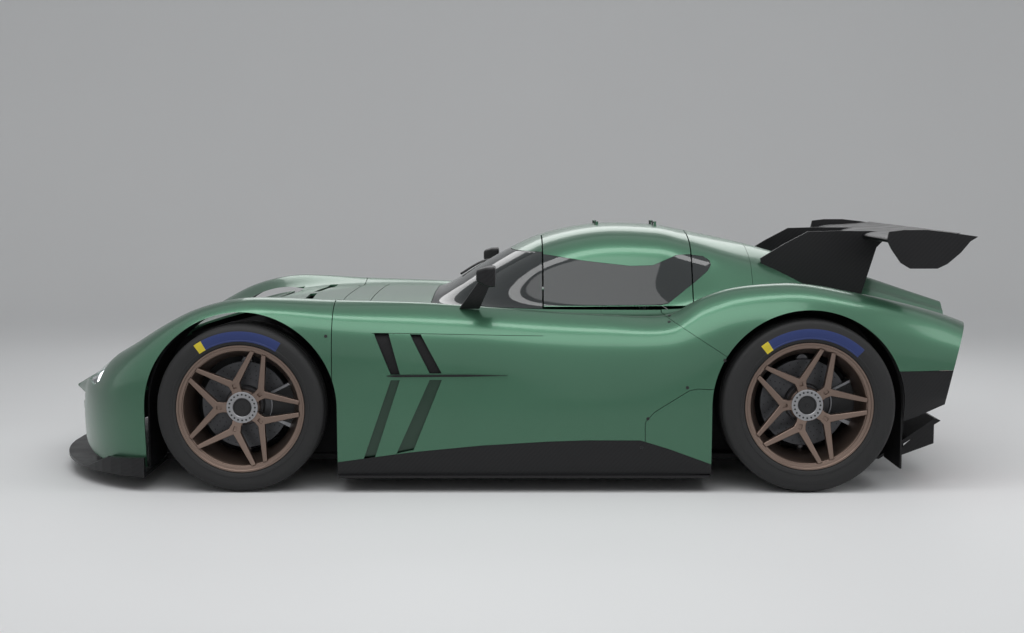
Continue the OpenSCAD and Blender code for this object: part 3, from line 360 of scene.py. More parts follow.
def carbon_finish(name="Woven carbon", slot="carbon", gloss=0.36):
    """Twill carbon under a satin lacquer."""
    f = Finish(name, slot)
    x, y, z = f.axes()
    pitch = 0.0055
    u = (x / pitch).math("FLOOR")
    v = ((y + z) / pitch).math("FLOOR")
    tow = (u + v).math("FLOORED_MODULO", 4.0) < 1.5
    worn = f.noise(9.0, 4.0)
    base = f.mix(tow, (0.006, 0.006, 0.007), (0.009, 0.009, 0.010))
    rough = f.range(worn, 0.3, 0.7, gloss - 0.05, gloss + 0.07) + tow * 0.05
    f.surface(Base_Color=base, Roughness=rough, Coat_Weight=0.08, Coat_Roughness=0.25, Specular_IOR_Level=0.25)
    return f


def plain_finish(name, slot, colour, rough, metallic=0.0, scale=60.0, spread=0.15, bump=0.0):
    """A finish whose tone and roughness vary a little over the surface."""
    f = Finish(name, slot)
    grain = f.noise(scale, 4.0)
    base = f.mix(f.range(grain, 0.3, 0.7, 0.0, 1.0), brighter(colour, 1.0 - spread), brighter(colour, 1.0 + spread))
    extra = {"Normal": f.bump(grain, bump, 0.0006)} if bump else {}
    rough = f.range(grain, 0.3, 0.7, rough * 0.88, rough * 1.12)
    f.surface(Base_Color=base, Roughness=rough, Metallic=metallic, **extra)
    return f


def glass_finish(colour, alpha, name="Tinted glass", slot="tinted_glass"):
    """Dark tinted glass that mirrors its surroundings."""
    f = Finish(name, slot)
    film = f.noise(2.2, 3.0)
    f.surface(Base_Color=f.mix(film, brighter(colour, 0.8), brighter(colour, 1.2)),
              Roughness=f.range(film, 0.3, 0.7, 0.02, 0.05),
              Alpha=f.range(film, 0.3, 0.7, alpha - 0.02, alpha + 0.02),
              Specular_IOR_Level=0.5, Coat_Weight=0.2, Coat_Roughness=0.03)
    f.material.use_backface_culling = False
    return f


def tyre_finish(front_end, rear_end):
    """Rubber with a plain coloured arc on its sidewall, between two angles on the tyre's own map."""
    f = Finish("Tyre rubber", "tyre_rubber")
    x, y, _ = f.axes(f.node("ShaderNodeUVMap", {"uv_map": "wheel"}))
    radius = (x * x + y * y).math("SQRT")
    angle = y.math("ARCTAN2", x) * (180.0 / math.pi)
    grain = f.noise(300.0, 4.0)
    rubber = f.mix(grain, (0.007, 0.007, 0.0075), (0.011, 0.011, 0.0115))
    band = (radius > 0.302) * (radius < 0.347)
    arc = band * (angle > front_end) * (angle < rear_end)
    chip = band * (abs(angle - front_end) < 3.0)
    inked = f.mix(arc, rubber, (0.012, 0.028, 0.13))
    inked = f.mix(chip, inked, (0.62, 0.5, 0.03))
    rough = f.range(grain, 0.3, 0.7, 0.66, 0.8) - arc * 0.15
    f.surface(Base_Color=inked, Roughness=rough, Normal=f.bump(grain, 0.25, 0.0004))
    return f


def disc_finish():
    """Carbon-ceramic brake disc, turned, with fine rings."""
    f = Finish("Turned brake disc", "brake_disc")
    x, y, _ = f.axes(f.node("ShaderNodeUVMap", {"uv_map": "wheel"}))
    radius = (x * x + y * y).math("SQRT")
    rings = (radius * 2600.0).math("SINE")
    grain = f.noise(140.0, 4.0)
    base = f.mix(f.range(rings, -1.0, 1.0, 0.0, 1.0), (0.055, 0.056, 0.060), (0.085, 0.086, 0.092))
    f.surface(Base_Color=base, Roughness=f.range(grain, 0.3, 0.7, 0.3, 0.45), Metallic=0.7)
    return f


def lamp_finish(name, slot, colour, glow):
    """A lamp that shines through its lens."""
    f = Finish(name, slot)
    ribs = (f.axes()[1] * 900.0).math("SINE")
    level = f.range(ribs, -1.0, 1.0, 0.75, 1.0)
    f.surface(Base_Color=f.mix(level, brighter(colour, 0.6), colour), Roughness=0.2,
              Emission_Color=f.mix(level, brighter(colour, 0.7), colour), Emission_Strength=glow)
    return f


# Name, slot, colour, roughness, metallic, grain, spread and bump of the finishes without a pattern.
PLAIN_FINISHES = {
    "frit": ("Frit band", "tinted_glass", (0.006, 0.007, 0.008), 0.25, 0.0, 200.0),
    "nut": ("Machined nut", "suspension_alloy", (0.30, 0.30, 0.31), 0.32, 0.95, 500.0, 0.08),
    "black": ("Black anodised", "suspension_alloy", (0.012, 0.012, 0.013), 0.4, 0.3, 300.0),
    "alloy": ("Cast alloy", "suspension_alloy", (0.28, 0.285, 0.3), 0.45, 0.8, 90.0, 0.12, 0.3),
    "engine": ("Engine castings", "engine_alloy", (0.2, 0.2, 0.21), 0.55, 0.7, 50.0, 0.2, 0.5),
    "cage": ("Cage enamel", "cage_steel", (0.035, 0.036, 0.038), 0.35, 0.1, 120.0),
    "fabric": ("Woven cloth", "seat_fabric", (0.03, 0.03, 0.034), 0.9, 0.0, 900.0, 0.3, 0.6),
    "trim": ("Flocked trim", "cabin_trim", (0.02, 0.02, 0.022), 0.85, 0.0, 700.0, 0.25, 0.4),
}
FINISHES = {}


def make_finish(name):
    """A new finish of that name, in the colours of the settings."""
    if name in PLAIN_FINISHES:
        return plain_finish(*PLAIN_FINISHES[name])
    colours = bpy.context.scene.hypercar_paint
    green, tint, bronze = tuple(colours.body_green), tuple(colours.glass_tint), tuple(colours.wheel_bronze)
    makers = {
        "paint": (paint_finish, green),
        # The body paint darkened to 0.3 of its colour is painted shade, for the backs of the slat recesses.
        "shade": (paint_finish, brighter(green, 0.3), "Shaded paint"),
        "carbon": (carbon_finish,),
        "matt_carbon": (carbon_finish, "Dry carbon", "carbon", 0.55),
        "bronze": (plain_finish, "Satin bronze", "bronze_wheel", bronze, 0.34, 0.9, 400.0, 0.06),
        "glass": (glass_finish, tint, 0.80),
        "side_glass": (glass_finish, tint, 0.92, "Tinted side glass"),
        "lens": (glass_finish, (0.75, 0.8, 0.82), 0.22, "Clear lens", "lamp_clear"),
        "front_tyre": (tyre_finish, 58.0, 122.0),
        "rear_tyre": (tyre_finish, 54.0, 133.0),
        "disc": (disc_finish,),
        "red_lamp": (lamp_finish, "Rear light", "lamp_red", (0.9, 0.012, 0.008), 2.2),
        "white_lamp": (lamp_finish, "Front light", "lamp_clear", (0.95, 0.98, 1.0), 2.0),
    }
    maker, *values = makers[name]
    return maker(*values)


def finish(name):
    """The finish of that name, made when it is first asked for."""
    if name not in FINISHES:
        FINISHES[name] = make_finish(name)
    return FINISHES[name]


# Meshes and objects.
def scaled(bm, factor):
    """Scales a shape evenly."""
    bmesh.ops.scale(bm, vec=(factor,) * 3, verts=bm.verts)


def rotated(bm, degrees, axis="Y"):
    """Turns a shape about an axis through the origin."""
    turn = Matrix.Rotation(math.radians(degrees), 3, axis)
    bmesh.ops.rotate(bm, verts=bm.verts, cent=(0, 0, 0), matrix=turn)
    return bm


def make_object(name, bm):
    """An object at the origin from a shape in millimetres."""
    scaled(bm, MM)
    mesh = bpy.data.meshes.new(name)
    bm.to_mesh(mesh)
    bm.free()
    obj = bpy.data.objects.new(name, mesh)
    bpy.context.scene.collection.objects.link(obj)
    return obj


def freeze(obj):
    """Makes the modifiers' result the object's own mesh."""
    graph = bpy.context.evaluated_depsgraph_get()
    mesh = bpy.data.meshes.new_from_object(obj.evaluated_get(graph))
    obj.modifiers.clear()
    obj.data = mesh


def taken(obj):
    """The object's final mesh as a shape in millimetres. The object is removed."""
    freeze(obj)
    bm = bmesh.new()
    bm.from_mesh(obj.data)
    scaled(bm, 1 / MM)
    drop([obj])
    return bm


def boolean(obj, shapes, operation="DIFFERENCE"):
    """Adds a Boolean modifier for each shape, and gives back the objects that they use."""
    helpers = []
    for shape in shapes:
        helper = make_object("cutter", shape)
        helper.hide_render = True
        step = obj.modifiers.new("Cut", "BOOLEAN")
        step.operation = operation
        step.object = helper
        step.solver = "EXACT"
        helpers.append(helper)
    return helpers


def drop(objects):
    """Removes helper objects."""
    for helper in objects:
        bpy.data.objects.remove(helper)


def dress(obj, body, look, nodes=(), sharp=32.0):
    """Gives a piece its finish, its smooth faces and its body, and hides the CAD nodes that it stands for."""
    mesh = obj.data
    mesh.materials.clear()
    mesh.materials.append(finish(look).material)
    for face in mesh.polygons:
        face.use_smooth = True
    mesh.set_sharp_from_angle(angle=math.radians(sharp))
    obj.modifiers.new("Even normals", "WEIGHTED_NORMAL").keep_sharp = True
    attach(obj, body)
    finish(look).slot
    if nodes:
        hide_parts(*nodes)
    return obj


def piece(name, bm, body, look, nodes=(), sharp=32.0):
    """A finished piece straight from a shape."""
    return dress(make_object(name, bm), body, look, nodes, sharp)


def joined(*shapes):
    """One shape from several."""
    whole = bmesh.new()
    for shape in shapes:
        mesh = bpy.data.meshes.new("part")
        shape.to_mesh(mesh)
        shape.free()
        whole.from_mesh(mesh)
        bpy.data.meshes.remove(mesh)
    return whole


def both_sides(bm):
    """Adds the mirror image on the other side of the car."""
    copy = bm.copy()
    bmesh.ops.scale(copy, vec=(1, -1, 1), verts=copy.verts)
    bmesh.ops.reverse_faces(copy, faces=copy.faces)
    return joined(bm, copy)


AXIS_PLACES = {
    "x": lambda a, b, c: (c, a, b),
    "y": lambda a, b, c: (a, c, b),
    "z": lambda a, b, c: (a, b, c),
}


def prism(outline, axis, low, high):
    """A closed bar along an axis, from an outline in the other two."""
    bm = bmesh.new()
    place = AXIS_PLACES[axis]
    face = bm.faces.new([bm.verts.new(place(a, b, low)) for a, b in outline])
    grown = bmesh.ops.extrude_face_region(bm, geom=[face])
    top = [v for v in grown["geom"] if isinstance(v, bmesh.types.BMVert)]
    bmesh.ops.translate(bm, verts=top, vec=Vector(place(0, 0, high)) - Vector(place(0, 0, low)))
    bmesh.ops.holes_fill(bm, edges=bm.edges, sides=0)
    bmesh.ops.recalc_face_normals(bm, faces=bm.faces)
    return bm


def rect(a0, a1, b0, b1):
    """The outline of a rectangle."""
    return ((a0, b0), (a1, b0), (a1, b1), (a0, b1))


def thick_line(points, near, far):
    """The outline of a band that follows a line, between two distances behind it along the first axis."""
    return [(a - near, b) for a, b in points] + [(a - far, b) for a, b in reversed(points)]


def across(side, near, far):
    """The lower and upper end of a span on one side of the car."""
    return sorted((side * near, side * far))


def ribbon(points, width):
    """The outline of a band of that width along a line."""
    p = np.array(points, float)
    run = np.gradient(p, axis=0)
    aside = np.column_stack([-run[:, 1], run[:, 0]])
    aside /= np.linalg.norm(aside, axis=1)[:, None]
    return [tuple(q) for q in np.vstack([p + aside * width / 2, (p - aside * width / 2)[::-1]])]


def drum(x, z, radius, y0, y1, segments=96):
    """A cylinder along Y."""
    bm = bmesh.new()
    turn = Matrix.Translation((x, (y0 + y1) / 2, z)) @ Matrix.Rotation(math.pi / 2, 4, "X")
    bmesh.ops.create_cone(bm, cap_ends=True, segments=segments, radius1=radius, radius2=radius, depth=y1 - y0,
                          matrix=turn)
    return bm


def soften(bm, width, segments=2, angle=30.0):
    """Bevels every edge that is sharper than the angle."""
    edges = [e for e in bm.edges if len(e.link_faces) == 2 and e.calc_face_angle(0.0) > math.radians(angle)]
    bmesh.ops.bevel(bm, geom=edges, offset=width, offset_type="OFFSET", affect="EDGES", segments=segments, profile=0.5,
                    material=-1, clamp_overlap=True)
    return bm


def turned(profile, segments, closed=True):
    """A profile of radius and distance along the axle, spun about Y."""
    bm = bmesh.new()
    verts = [bm.verts.new((r, -o, 0)) for r, o in profile]
    pairs = list(zip(verts, verts[1:] + verts[:1] if closed else verts[1:]))
    edges = [bm.edges.new(pair) for pair in pairs if pair[0] != pair[1]]
    bmesh.ops.spin(bm, geom=verts + edges, cent=(0, 0, 0), axis=(0, 1, 0), angle=2 * math.pi, steps=segments,
                   use_merge=True, use_duplicate=False)
    bmesh.ops.recalc_face_normals(bm, faces=bm.faces)
    return bm


def tube(points, radius, sides=12, smooth=True):
    """A round tube along a line of points."""
    curve = bpy.data.curves.new("tube", "CURVE")
    curve.dimensions = "3D"
    curve.bevel_depth = radius
    curve.bevel_resolution = max(1, sides // 4 - 1)
    curve.use_fill_caps = True
    curve.resolution_u = 6
    spline = curve.splines.new("BEZIER" if smooth else "POLY")
    if smooth:
        spline.bezier_points.add(len(points) - 1)
        for place, p in zip(spline.bezier_points, points):
            place.co = p
            place.handle_left_type = place.handle_right_type = "AUTO"
    else:
        spline.points.add(len(points) - 1)
        for place, p in zip(spline.points, points):
            place.co = (*p, 1.0)
    holder = bpy.data.objects.new("tube", curve)
    bpy.context.scene.collection.objects.link(holder)
    mesh = bpy.data.meshes.new_from_object(holder.evaluated_get(bpy.context.evaluated_depsgraph_get()))
    bm = bmesh.new()
    bm.from_mesh(mesh)
    bpy.data.objects.remove(holder)
    bpy.data.curves.remove(curve)
    bpy.data.meshes.remove(mesh)
    bmesh.ops.remove_doubles(bm, verts=bm.verts, dist=0.01)
    bmesh.ops.recalc_face_normals(bm, faces=bm.faces)
    return bm


def sheet_shape(xs, lines, lift=0.0, open_cell=None):
    """A grid laid on the body: a row for each station, and a list of lines or one list for every station.

    Cells whose middle open_cell accepts are left out."""
    xs = np.asarray(xs, float)
    lines = np.asarray(lines, float)
    if lines.ndim == 1:
        lines = np.tile(lines, (len(xs), 1))
    rows, cols = lines.shape
    stations = np.repeat(xs[:, None], cols, 1)
    places = BODY.point(stations, lines) + lift * BODY.normal(stations, lines)
    outward = BODY.normal(stations, lines)
    bm = bmesh.new()
    bmesh.ops.create_grid(bm, x_segments=rows - 1, y_segments=cols - 1, size=0.5)
    if open_cell:
        gone = []
        for face in bm.faces:
            middle = face.calc_center_median()
            i, j = int((middle.x + 0.5) * (rows - 1)), int((middle.y + 0.5) * (cols - 1))
            if open_cell((xs[i] + xs[i + 1]) / 2, (lines[i, j] + lines[i, j + 1]) / 2):
                gone.append(face)
        bmesh.ops.delete(bm, geom=gone, context="FACES")
    for v in bm.verts:
        i, j = round((v.co.x + 0.5) * (rows - 1)), round((v.co.y + 0.5) * (cols - 1))
        v.co = places[i, j]
    bm.normal_update()
    middle = bm.faces[:][len(bm.faces) // 2]
    near = np.abs(places - np.array(middle.calc_center_median())).sum(-1)
    if Vector(outward[np.unravel_index(near.argmin(), near.shape)]).dot(middle.normal) < 0:
        bmesh.ops.reverse_faces(bm, faces=bm.faces)
    bmesh.ops.remove_doubles(bm, verts=bm.verts, dist=0.02)
    return bm


def spaced(low, high, step):
    """Even values from low to high, about a step apart."""
    return np.linspace(low, high, max(2, int(round((high - low) / step)) + 1))


def chained(marks, step):
    """Even values about a step apart that pass through every mark."""
    runs = [spaced(low, high, step)[:-1] for low, high in zip(marks, marks[1:])]
    return np.concatenate(runs + [[marks[-1]]])


def panel(name, body, look, xs, lines, thick=PANEL_T, lift=0.0, cuts=(), keep=(), mirrored=False, nodes=(),
          open_cell=None):
    """A panel of the body's skin with its wall, cut to shape."""
    obj = make_object(name, sheet_shape(xs, lines, lift, open_cell))
    wall = obj.modifiers.new("Wall", "SOLIDIFY")
    wall.thickness = thick * MM
    wall.offset = -1.0
    helpers = boolean(obj, cuts) + boolean(obj, keep, "INTERSECT")
    if mirrored:
        other = obj.modifiers.new("Other side", "MIRROR")
        other.use_axis = (False, True, False)
        other.use_mirror_merge = False
    freeze(obj)
    drop(helpers)
    return dress(obj, body, look, nodes)


def arch_cuts(*axles):
    """The wheel arches of those axles on both sides, open at the bottom."""
    shapes = []
    for axle_x, tyre_r in axles:
        for side in (1, -1):
            y0, y1 = across(side, ARCH_Y, 1100.0)
            shapes.append(drum(axle_x, tyre_r, ARCH_R, y0, y1, 160))
            shapes.append(prism(rect(axle_x - ARCH_R, axle_x + ARCH_R, -100, tyre_r), "y", y0, y1))
    return shapes


def side_cut(outline):
    """A cut right through the car from a side-view outline."""
    return prism(outline, "y", -SIDE_REACH, SIDE_REACH)


def body_block(x0, x1, s0, s1, above=80.0, below=80.0):
    """A solid band of space about the skin, to cut a panel along its lines."""
    bm = sheet_shape(spaced(x0, x1, 30), spaced(s0, s1, 0.1), above)
    obj = make_object("block", bm)
    wall = obj.modifiers.new("Wall", "SOLIDIFY")
    wall.thickness = (above + below) * MM
    wall.offset = -1.0
    return taken(obj)


def tail_block():
    """The space ahead of the curved end of the body."""
    bm = bmesh.new()
    place = (Matrix.Translation((TAIL_X, 0, 770)) @ Matrix.Rotation(math.radians(-13), 4, "Y")
             @ Matrix.Translation((3200, 0, -100)))
    bmesh.ops.create_cone(bm, cap_ends=True, segments=400, radius1=3200, radius2=3200, depth=1600, matrix=place)
    return bm


# Pieces of the body.
def nose_stations(low, rows=110):
    """Stations up to the tip, closer where the bumper rounds and the beak begins."""
    bumper = BUMPER_X + 2.0 - (BUMPER_X + 2.0 - low) * np.linspace(1.0, 0.0, rows) ** 1.7
    return np.concatenate([bumper, spaced(BUMPER_X + 6.0, NOSE_X, 5.0)])


def intake_outline(margin=0.0):
    """The mouth of the nose in front view, y and z."""
    half = ((430, 132), (430, 150), (390, 238), (160, 268))
    points = [(y - margin, z + (margin if z < 200 else -margin)) for y, z in half]
    return points + [(-y, z) for y, z in reversed(points)]


def headlight_cut(grow=0.0):
    """The window of a headlight, on both sides."""
    outline = ((1925 - grow, 440 - grow), (1800 - grow, 520 - grow), (1800 - grow, 700), (2000 + grow, 700),
               (2000 + grow, 440 - grow))
    return [prism(outline, "y", *across(side, 420 - grow, 670 + grow)) for side in (1, -1)]


def louvres(places):
    """Bars through the bonnet at its outlets, from the places of one outlet in plan."""
    return [prism([(x + a, side * b) for a, b in places], "z", 700, 960) for x in LOUVRE_X for side in (1, -1)]


def build_nose(seam):
    """The front clip with its mouth, arches, lamps and outlets."""
    cuts = arch_cuts(FRONT_AXLE) + [prism(intake_outline(), "x", 1700, 2300)] + headlight_cut(2)
    cuts += louvres(((0, 60), (-34, 60), (-64, 580), (-20, 580)))
    cuts.append(prism(MOUTH, "y", -640, 640))
    panel("nose_clip_panel", "chassis", "paint", nose_stations(CLIP_X + seam), spaced(-HEM, HEM, 0.085),
          cuts=cuts, nodes=("nose_clip",))
    panel("bonnet_outlet_blades", "chassis", "carbon", spaced(850, 1210, 14), spaced(-2.6, 2.6, 0.1), thick=3,
          lift=-24, keep=[joined(*louvres(((-6, 62), (-62, 62), (-92, 578), (-26, 578))))])
    back = [(BUMPER_X - 84 - 0.00033 * y * y, y) for y in spaced(-620, 620, 31)]
    piece("nose_mouth_back", soften(prism(thick_line(back, 0, 8), "z", 282, 372), 1.0), "chassis", "trim")


def build_grille():
    """The vanes of the intake, which follow the rounded nose."""
    nose_l, nose_half = BUMPER_X - NOSE_ROUND_X, 930
    depth = [(NOSE_ROUND_X + nose_l * (1 - (abs(y) / nose_half) ** 2) ** (1 / NOSE_POWER) - 46, y)
             for y in spaced(-418, 418, 22)]
    vanes = [soften(prism(thick_line(depth, 0, 34), "z", z, z + 4), 1.0) for z in (140, 166, 192, 218, 244)]
    for y in (-300, -150, 0, 150, 300):
        x = float(np.interp(y, [d[1] for d in depth], [d[0] for d in depth]))
        vanes.append(prism(rect(x - 36, x - 4, y - 3, y + 3), "z", 134, 262))
    vanes.append(prism(thick_line(depth, 70, 74), "z", 128, 272))
    piece("front_grille_vanes", joined(*vanes), "chassis", "matt_carbon", ("front_grille",))


def build_cowl(seam):
    """The panel between the bonnet and the windscreen, with its cross seam."""
    cuts = [prism(rect(641, 644.5, -700, 700), "z", 600, 1000)]
    panel("cowl_panel", "chassis", "paint", spaced(SCREEN_BASE_X + seam, CLIP_X - seam, 13),
          spaced(-BASE + LINE_SEAM, BASE - LINE_SEAM, 0.07), cuts=cuts, nodes=("cowl",))


def build_sides(seam):
    """The flanks with their outlets, recessed slats backed with paint darkened as painted shade, skirt and blade."""
    cuts = arch_cuts(FRONT_AXLE, REAR_AXLE)
    cuts += [side_cut([(x + seam, z) for x, z in REAR_SPLIT] + [(-1200, 30), (-1200, 960)])]
    cuts += [side_cut(outline) for outline in VENTS + SLATS]
    cuts += [side_cut(SKIRT), side_cut(ribbon(LOW_SEAM, 2.6)), side_cut(ribbon(CREASE, 2.2))]
    panel("flank_panels", "chassis", "paint", spaced(-1000, CLIP_X - seam, 11), spaced(BASE + LINE_SEAM, HEM, 0.05),
          cuts=cuts, mirrored=True, nodes=("side_panels",))
    back = spaced(200, 740, 15)
    # The backing of the slat recesses wears paint darkened as painted shade.
    panel("slat_recesses", "chassis", "shade", back, spaced(4.6, HEM, 0.1), thick=3, lift=-27,
          cuts=[side_cut(SKIRT)] + [side_cut(outline) for outline in VENTS], mirrored=True)
    grown = ((8, 8), (-8, 8), (-8, -8), (8, -8))
    frames = [side_cut([(x + dx, z + dz) for (x, z), (dx, dz) in zip(outline, grown)]) for outline in VENTS]
    panel("vent_backs", "chassis", "matt_carbon", back, spaced(3.0, 5.0, 0.1), thick=3, lift=-24,
          keep=[joined(*frames)], mirrored=True, nodes=("side_vents",))
    skirt = [(x, z - (1.5 if z > 60 else 0)) for x, z in SKIRT]
    cuts = arch_cuts(FRONT_AXLE, REAR_AXLE)
    panel("skirts", "chassis", "carbon", spaced(-1000, CLIP_X - seam, 14), spaced(4.4, HEM, 0.06), lift=-1.0, cuts=cuts,
          keep=[side_cut(skirt)], mirrored=True)
    xs = spaced(-3, 533, 12)
    lines = []
    for x in xs:
        reach = 4.5 * min(1.0, (x + 3) / 200.0 + 0.05, (536 - x) / 40.0 + 0.05)
        low, high = BODY.line_at(x, 521.5 - reach), BODY.line_at(x, 521.5 + reach)
        lines.append(np.linspace(high, low, 5))
    panel("flank_blades", "chassis", "carbon", xs, lines, thick=16, lift=11, mirrored=True)


def build_rear(seam):
    """The rear clip, cut along the roof, the split line and the dark corner below it."""
    cuts = arch_cuts(REAR_AXLE)
    ahead = [(x - seam, z) for x, z in REAR_SPLIT] + [(-600, 30), (-600, 960)]
    cuts += [prism(ahead, "y", *across(side, 300, SIDE_REACH)) for side in (1, -1)]
    cuts.append(side_cut(rect(TAIL_X - 20, REAR_AXLE_X, -20, VALANCE_Z)))
    for y0, y1 in ((772, 800), (-800, -772)):
        cuts.append(prism(((-1560, y0), (-1320, y0 + 3), (-1320, y1 - 3), (-1560, y1)), "z", 840, 1000))
    roof_x = ROOF_REAR_X - seam
    panel("rear_clip_panel", "chassis", "paint", chained((TAIL_X, roof_x, -700), 12),
          chained((-HEM, -BASE, BASE, HEM), 0.07), cuts=cuts, keep=[tail_block()], nodes=("rear_clip",),
          open_cell=lambda x, s: x > roof_x and abs(s) < BASE)
    cuts = arch_cuts(REAR_AXLE)
    low = side_cut(rect(TAIL_X - 20, REAR_AXLE_X, -20, VALANCE_Z - 2))
    panel("rear_corner_trim", "chassis", "carbon", spaced(TAIL_X, REAR_AXLE_X, 14), spaced(BASE, HEM, 0.08), lift=-2.0,
          cuts=cuts, keep=[low, tail_block()], mirrored=True, nodes=("rear_valances",))


def hinge_eye(x, y, length):
    """An eye of a roof hinge, along X."""
    place = Matrix.Translation((x, y, HINGE_Z)) @ Matrix.Rotation(math.pi / 2, 4, "Y")
    eye = bmesh.new()
    bmesh.ops.create_cone(eye, cap_ends=True, segments=28, radius1=6, radius2=6, depth=length, matrix=place)
    return soften(eye, 0.8)


def build_roof():
    """The roof: header, spine and rear panel, with its hinge blocks."""
    front, rear = DOOR_FRONT_X + DOOR_GAP, DOOR_REAR_X - DOOR_GAP
    edge = DOOR_TOP_LINE - DOOR_GAP / ROOF_RAIL_Y
    base = BASE - LINE_SEAM
    cuts = [prism(rect(front - 1, 500, 500, SCREEN_TOP_Z + 2), "y", -900, 900), side_cut(QUARTER)]
    panel("roof_panel", "chassis", "paint", chained((ROOF_REAR_X, rear, front, 60), 9),
          chained((-base, -edge, edge, base), 0.04), cuts=cuts, nodes=("roof",),
          open_cell=lambda x, s: rear < x < front and abs(s) > edge)
    pins, blocks = [], []
    for x in HINGE_X:
        pin = rotated(drum(0, 0, 3, -9, 9, 24), 90, "Z")
        bmesh.ops.translate(pin, verts=pin.verts, vec=(x, HINGE_Y, HINGE_Z))
        pins.append(pin)
        for block_x in (x - 7, x + 7):
            foot = prism(rect(block_x - 2, block_x + 2, 80, HINGE_Y), "z", 1150, 1181)
            blocks += [hinge_eye(block_x, HINGE_Y, 4), soften(foot, 0.8)]
    piece("roof_hinge_blocks", both_sides(joined(*blocks)), "chassis", "black")
    piece("roof_hinge_pins", both_sides(joined(*pins)), "chassis", "black")
    panel("headliner", "chassis", "trim", spaced(ROOF_REAR_X + 30, -180, 12),
          spaced(-DOOR_TOP_LINE + 0.03, DOOR_TOP_LINE - 0.03, 0.04), thick=1.5, lift=-PANEL_T - 0.6)


def build_doors():
    """Both doors: frame, lining, glass with its frit band, and hinge straps."""
    shrunk = [(x, z + (1 if z < 950 else -1)) for x, z in WINDOW]

    def below(sill_z):
        return prism(rect(-900, -140, 600, sill_z), "y", -1200, 1200)

    for side, word in ((1, "left"), (-1, "right")):
        body = f"{word}_door"
        lines = spaced(*across(side, DOOR_TOP_LINE, BASE), 0.035)
        xs = spaced(DOOR_REAR_X, DOOR_FRONT_X, 9)
        panel(f"door_panel_{word}", body, "paint", xs, lines, cuts=[side_cut(WINDOW), below(DOOR_SILL_Z)],
              nodes=(f"door_{word}",))
        panel(f"door_lining_{word}", body, "trim", spaced(DOOR_REAR_X + 4, DOOR_FRONT_X - 4, 10), lines[1:-1],
              thick=1.2, lift=-PANEL_T - 0.4, cuts=[side_cut(WINDOW_EDGE), below(DOOR_SILL_Z + 4)])
        panel(f"door_pane_{word}", body, "side_glass", xs, lines, thick=4, lift=-0.6, keep=[side_cut(shrunk)],
              nodes=(f"door_glass_{word}",))
        panel(f"door_frit_{word}", body, "frit", xs, lines, thick=1.5, lift=-5.2, keep=[side_cut(shrunk)],
              cuts=[side_cut(WINDOW_CLEAR)])
        straps = []
        for x in HINGE_X:
            outline = ((x - 3, side * HINGE_Y), (x + 3, side * HINGE_Y), (x + 6, side * 132), (x - 6, side * 132))
            straps += [hinge_eye(x, side * HINGE_Y, 6), soften(prism(outline, "z", 1158, 1180), 0.8)]
        piece(f"door_hinge_straps_{word}", joined(*straps), body, "paint")


def build_glass():
    """The windscreen with its frit and wiper, and the rear quarter panes."""
    low_x, high_x = DOOR_FRONT_X + DOOR_GAP + 1, SCREEN_BASE_X - 1
    edge = BASE - 0.01

    def above(z):
        return prism(rect(-400, 700, -900, 900), "z", z, 1400)

    panel("windscreen_pane", "chassis", "glass", spaced(low_x, high_x, 10), spaced(-edge, edge, 0.05), thick=5,
          cuts=[above(SCREEN_TOP_Z)], nodes=("windscreen",))
    marks = (low_x, low_x + 49, high_x - 79, high_x)
    panel("windscreen_frit", "chassis", "frit", chained(marks, 10), chained((-edge, -1.72, 1.72, edge), 0.05),
          thick=1.5, lift=-5.5, cuts=[above(SCREEN_TOP_Z - 1)],
          open_cell=lambda x, s: marks[1] < x < marks[2] and abs(s) < 1.72)
    shrunk = [(x + (1 if x < -900 else 0), z + (1 if z < 975 else -1)) for x, z in QUARTER]
    panel("quarter_panes", "chassis", "side_glass", spaced(-990, -874.5, 9), spaced(0.8, BASE, 0.05), thick=5,
          lift=-0.6, keep=[side_cut(shrunk)], mirrored=True, nodes=("quarter_glass",))
    lines = np.linspace(0, 3, 200)
    seated = []
    for x, y in ((230, -60), (150, -180), (95, -330), (60, -420)):
        s = math.copysign(float(np.interp(abs(y), BODY.point(x, lines)[:, 1], lines)), y)
        seated.append(tuple(float(c) for c in BODY.point(x, s) + 10 * BODY.normal(x, s)))
    piece("windscreen_wiper", tube(seated, 6, 8), "chassis", "black")


def build_lamps():
    """Headlights with their lenses and light units."""
    panel("headlight_lenses", "chassis", "lens", spaced(1740, 2040, 10), spaced(-4.5, 4.5, 0.09), thick=3, lift=-1,
          keep=[joined(*headlight_cut())], nodes=("headlights",))
    panel("headlight_bowls", "chassis", "black", spaced(1700, 2060, 14), spaced(-5, 5, 0.12), thick=3, lift=-46,
          keep=[joined(*headlight_cut(14))])
    units = []
    for side in (1, -1):
        for x, y in ((1925, 470), (1905, 530), (1880, 590)):
            unit = turned(((0.5, 0), (24, 0), (30, 22), (27, 22), (20, 4), (0.5, 4)), 32)
            rotated(rotated(unit, 115, "Z"), -25)
            bmesh.ops.translate(unit, verts=unit.verts, vec=(x - 10, side * y, BODY.point(x, BASE)[2] - 34))
            units.append(unit)
    piece("headlight_units", joined(*units), "chassis", "white_lamp")


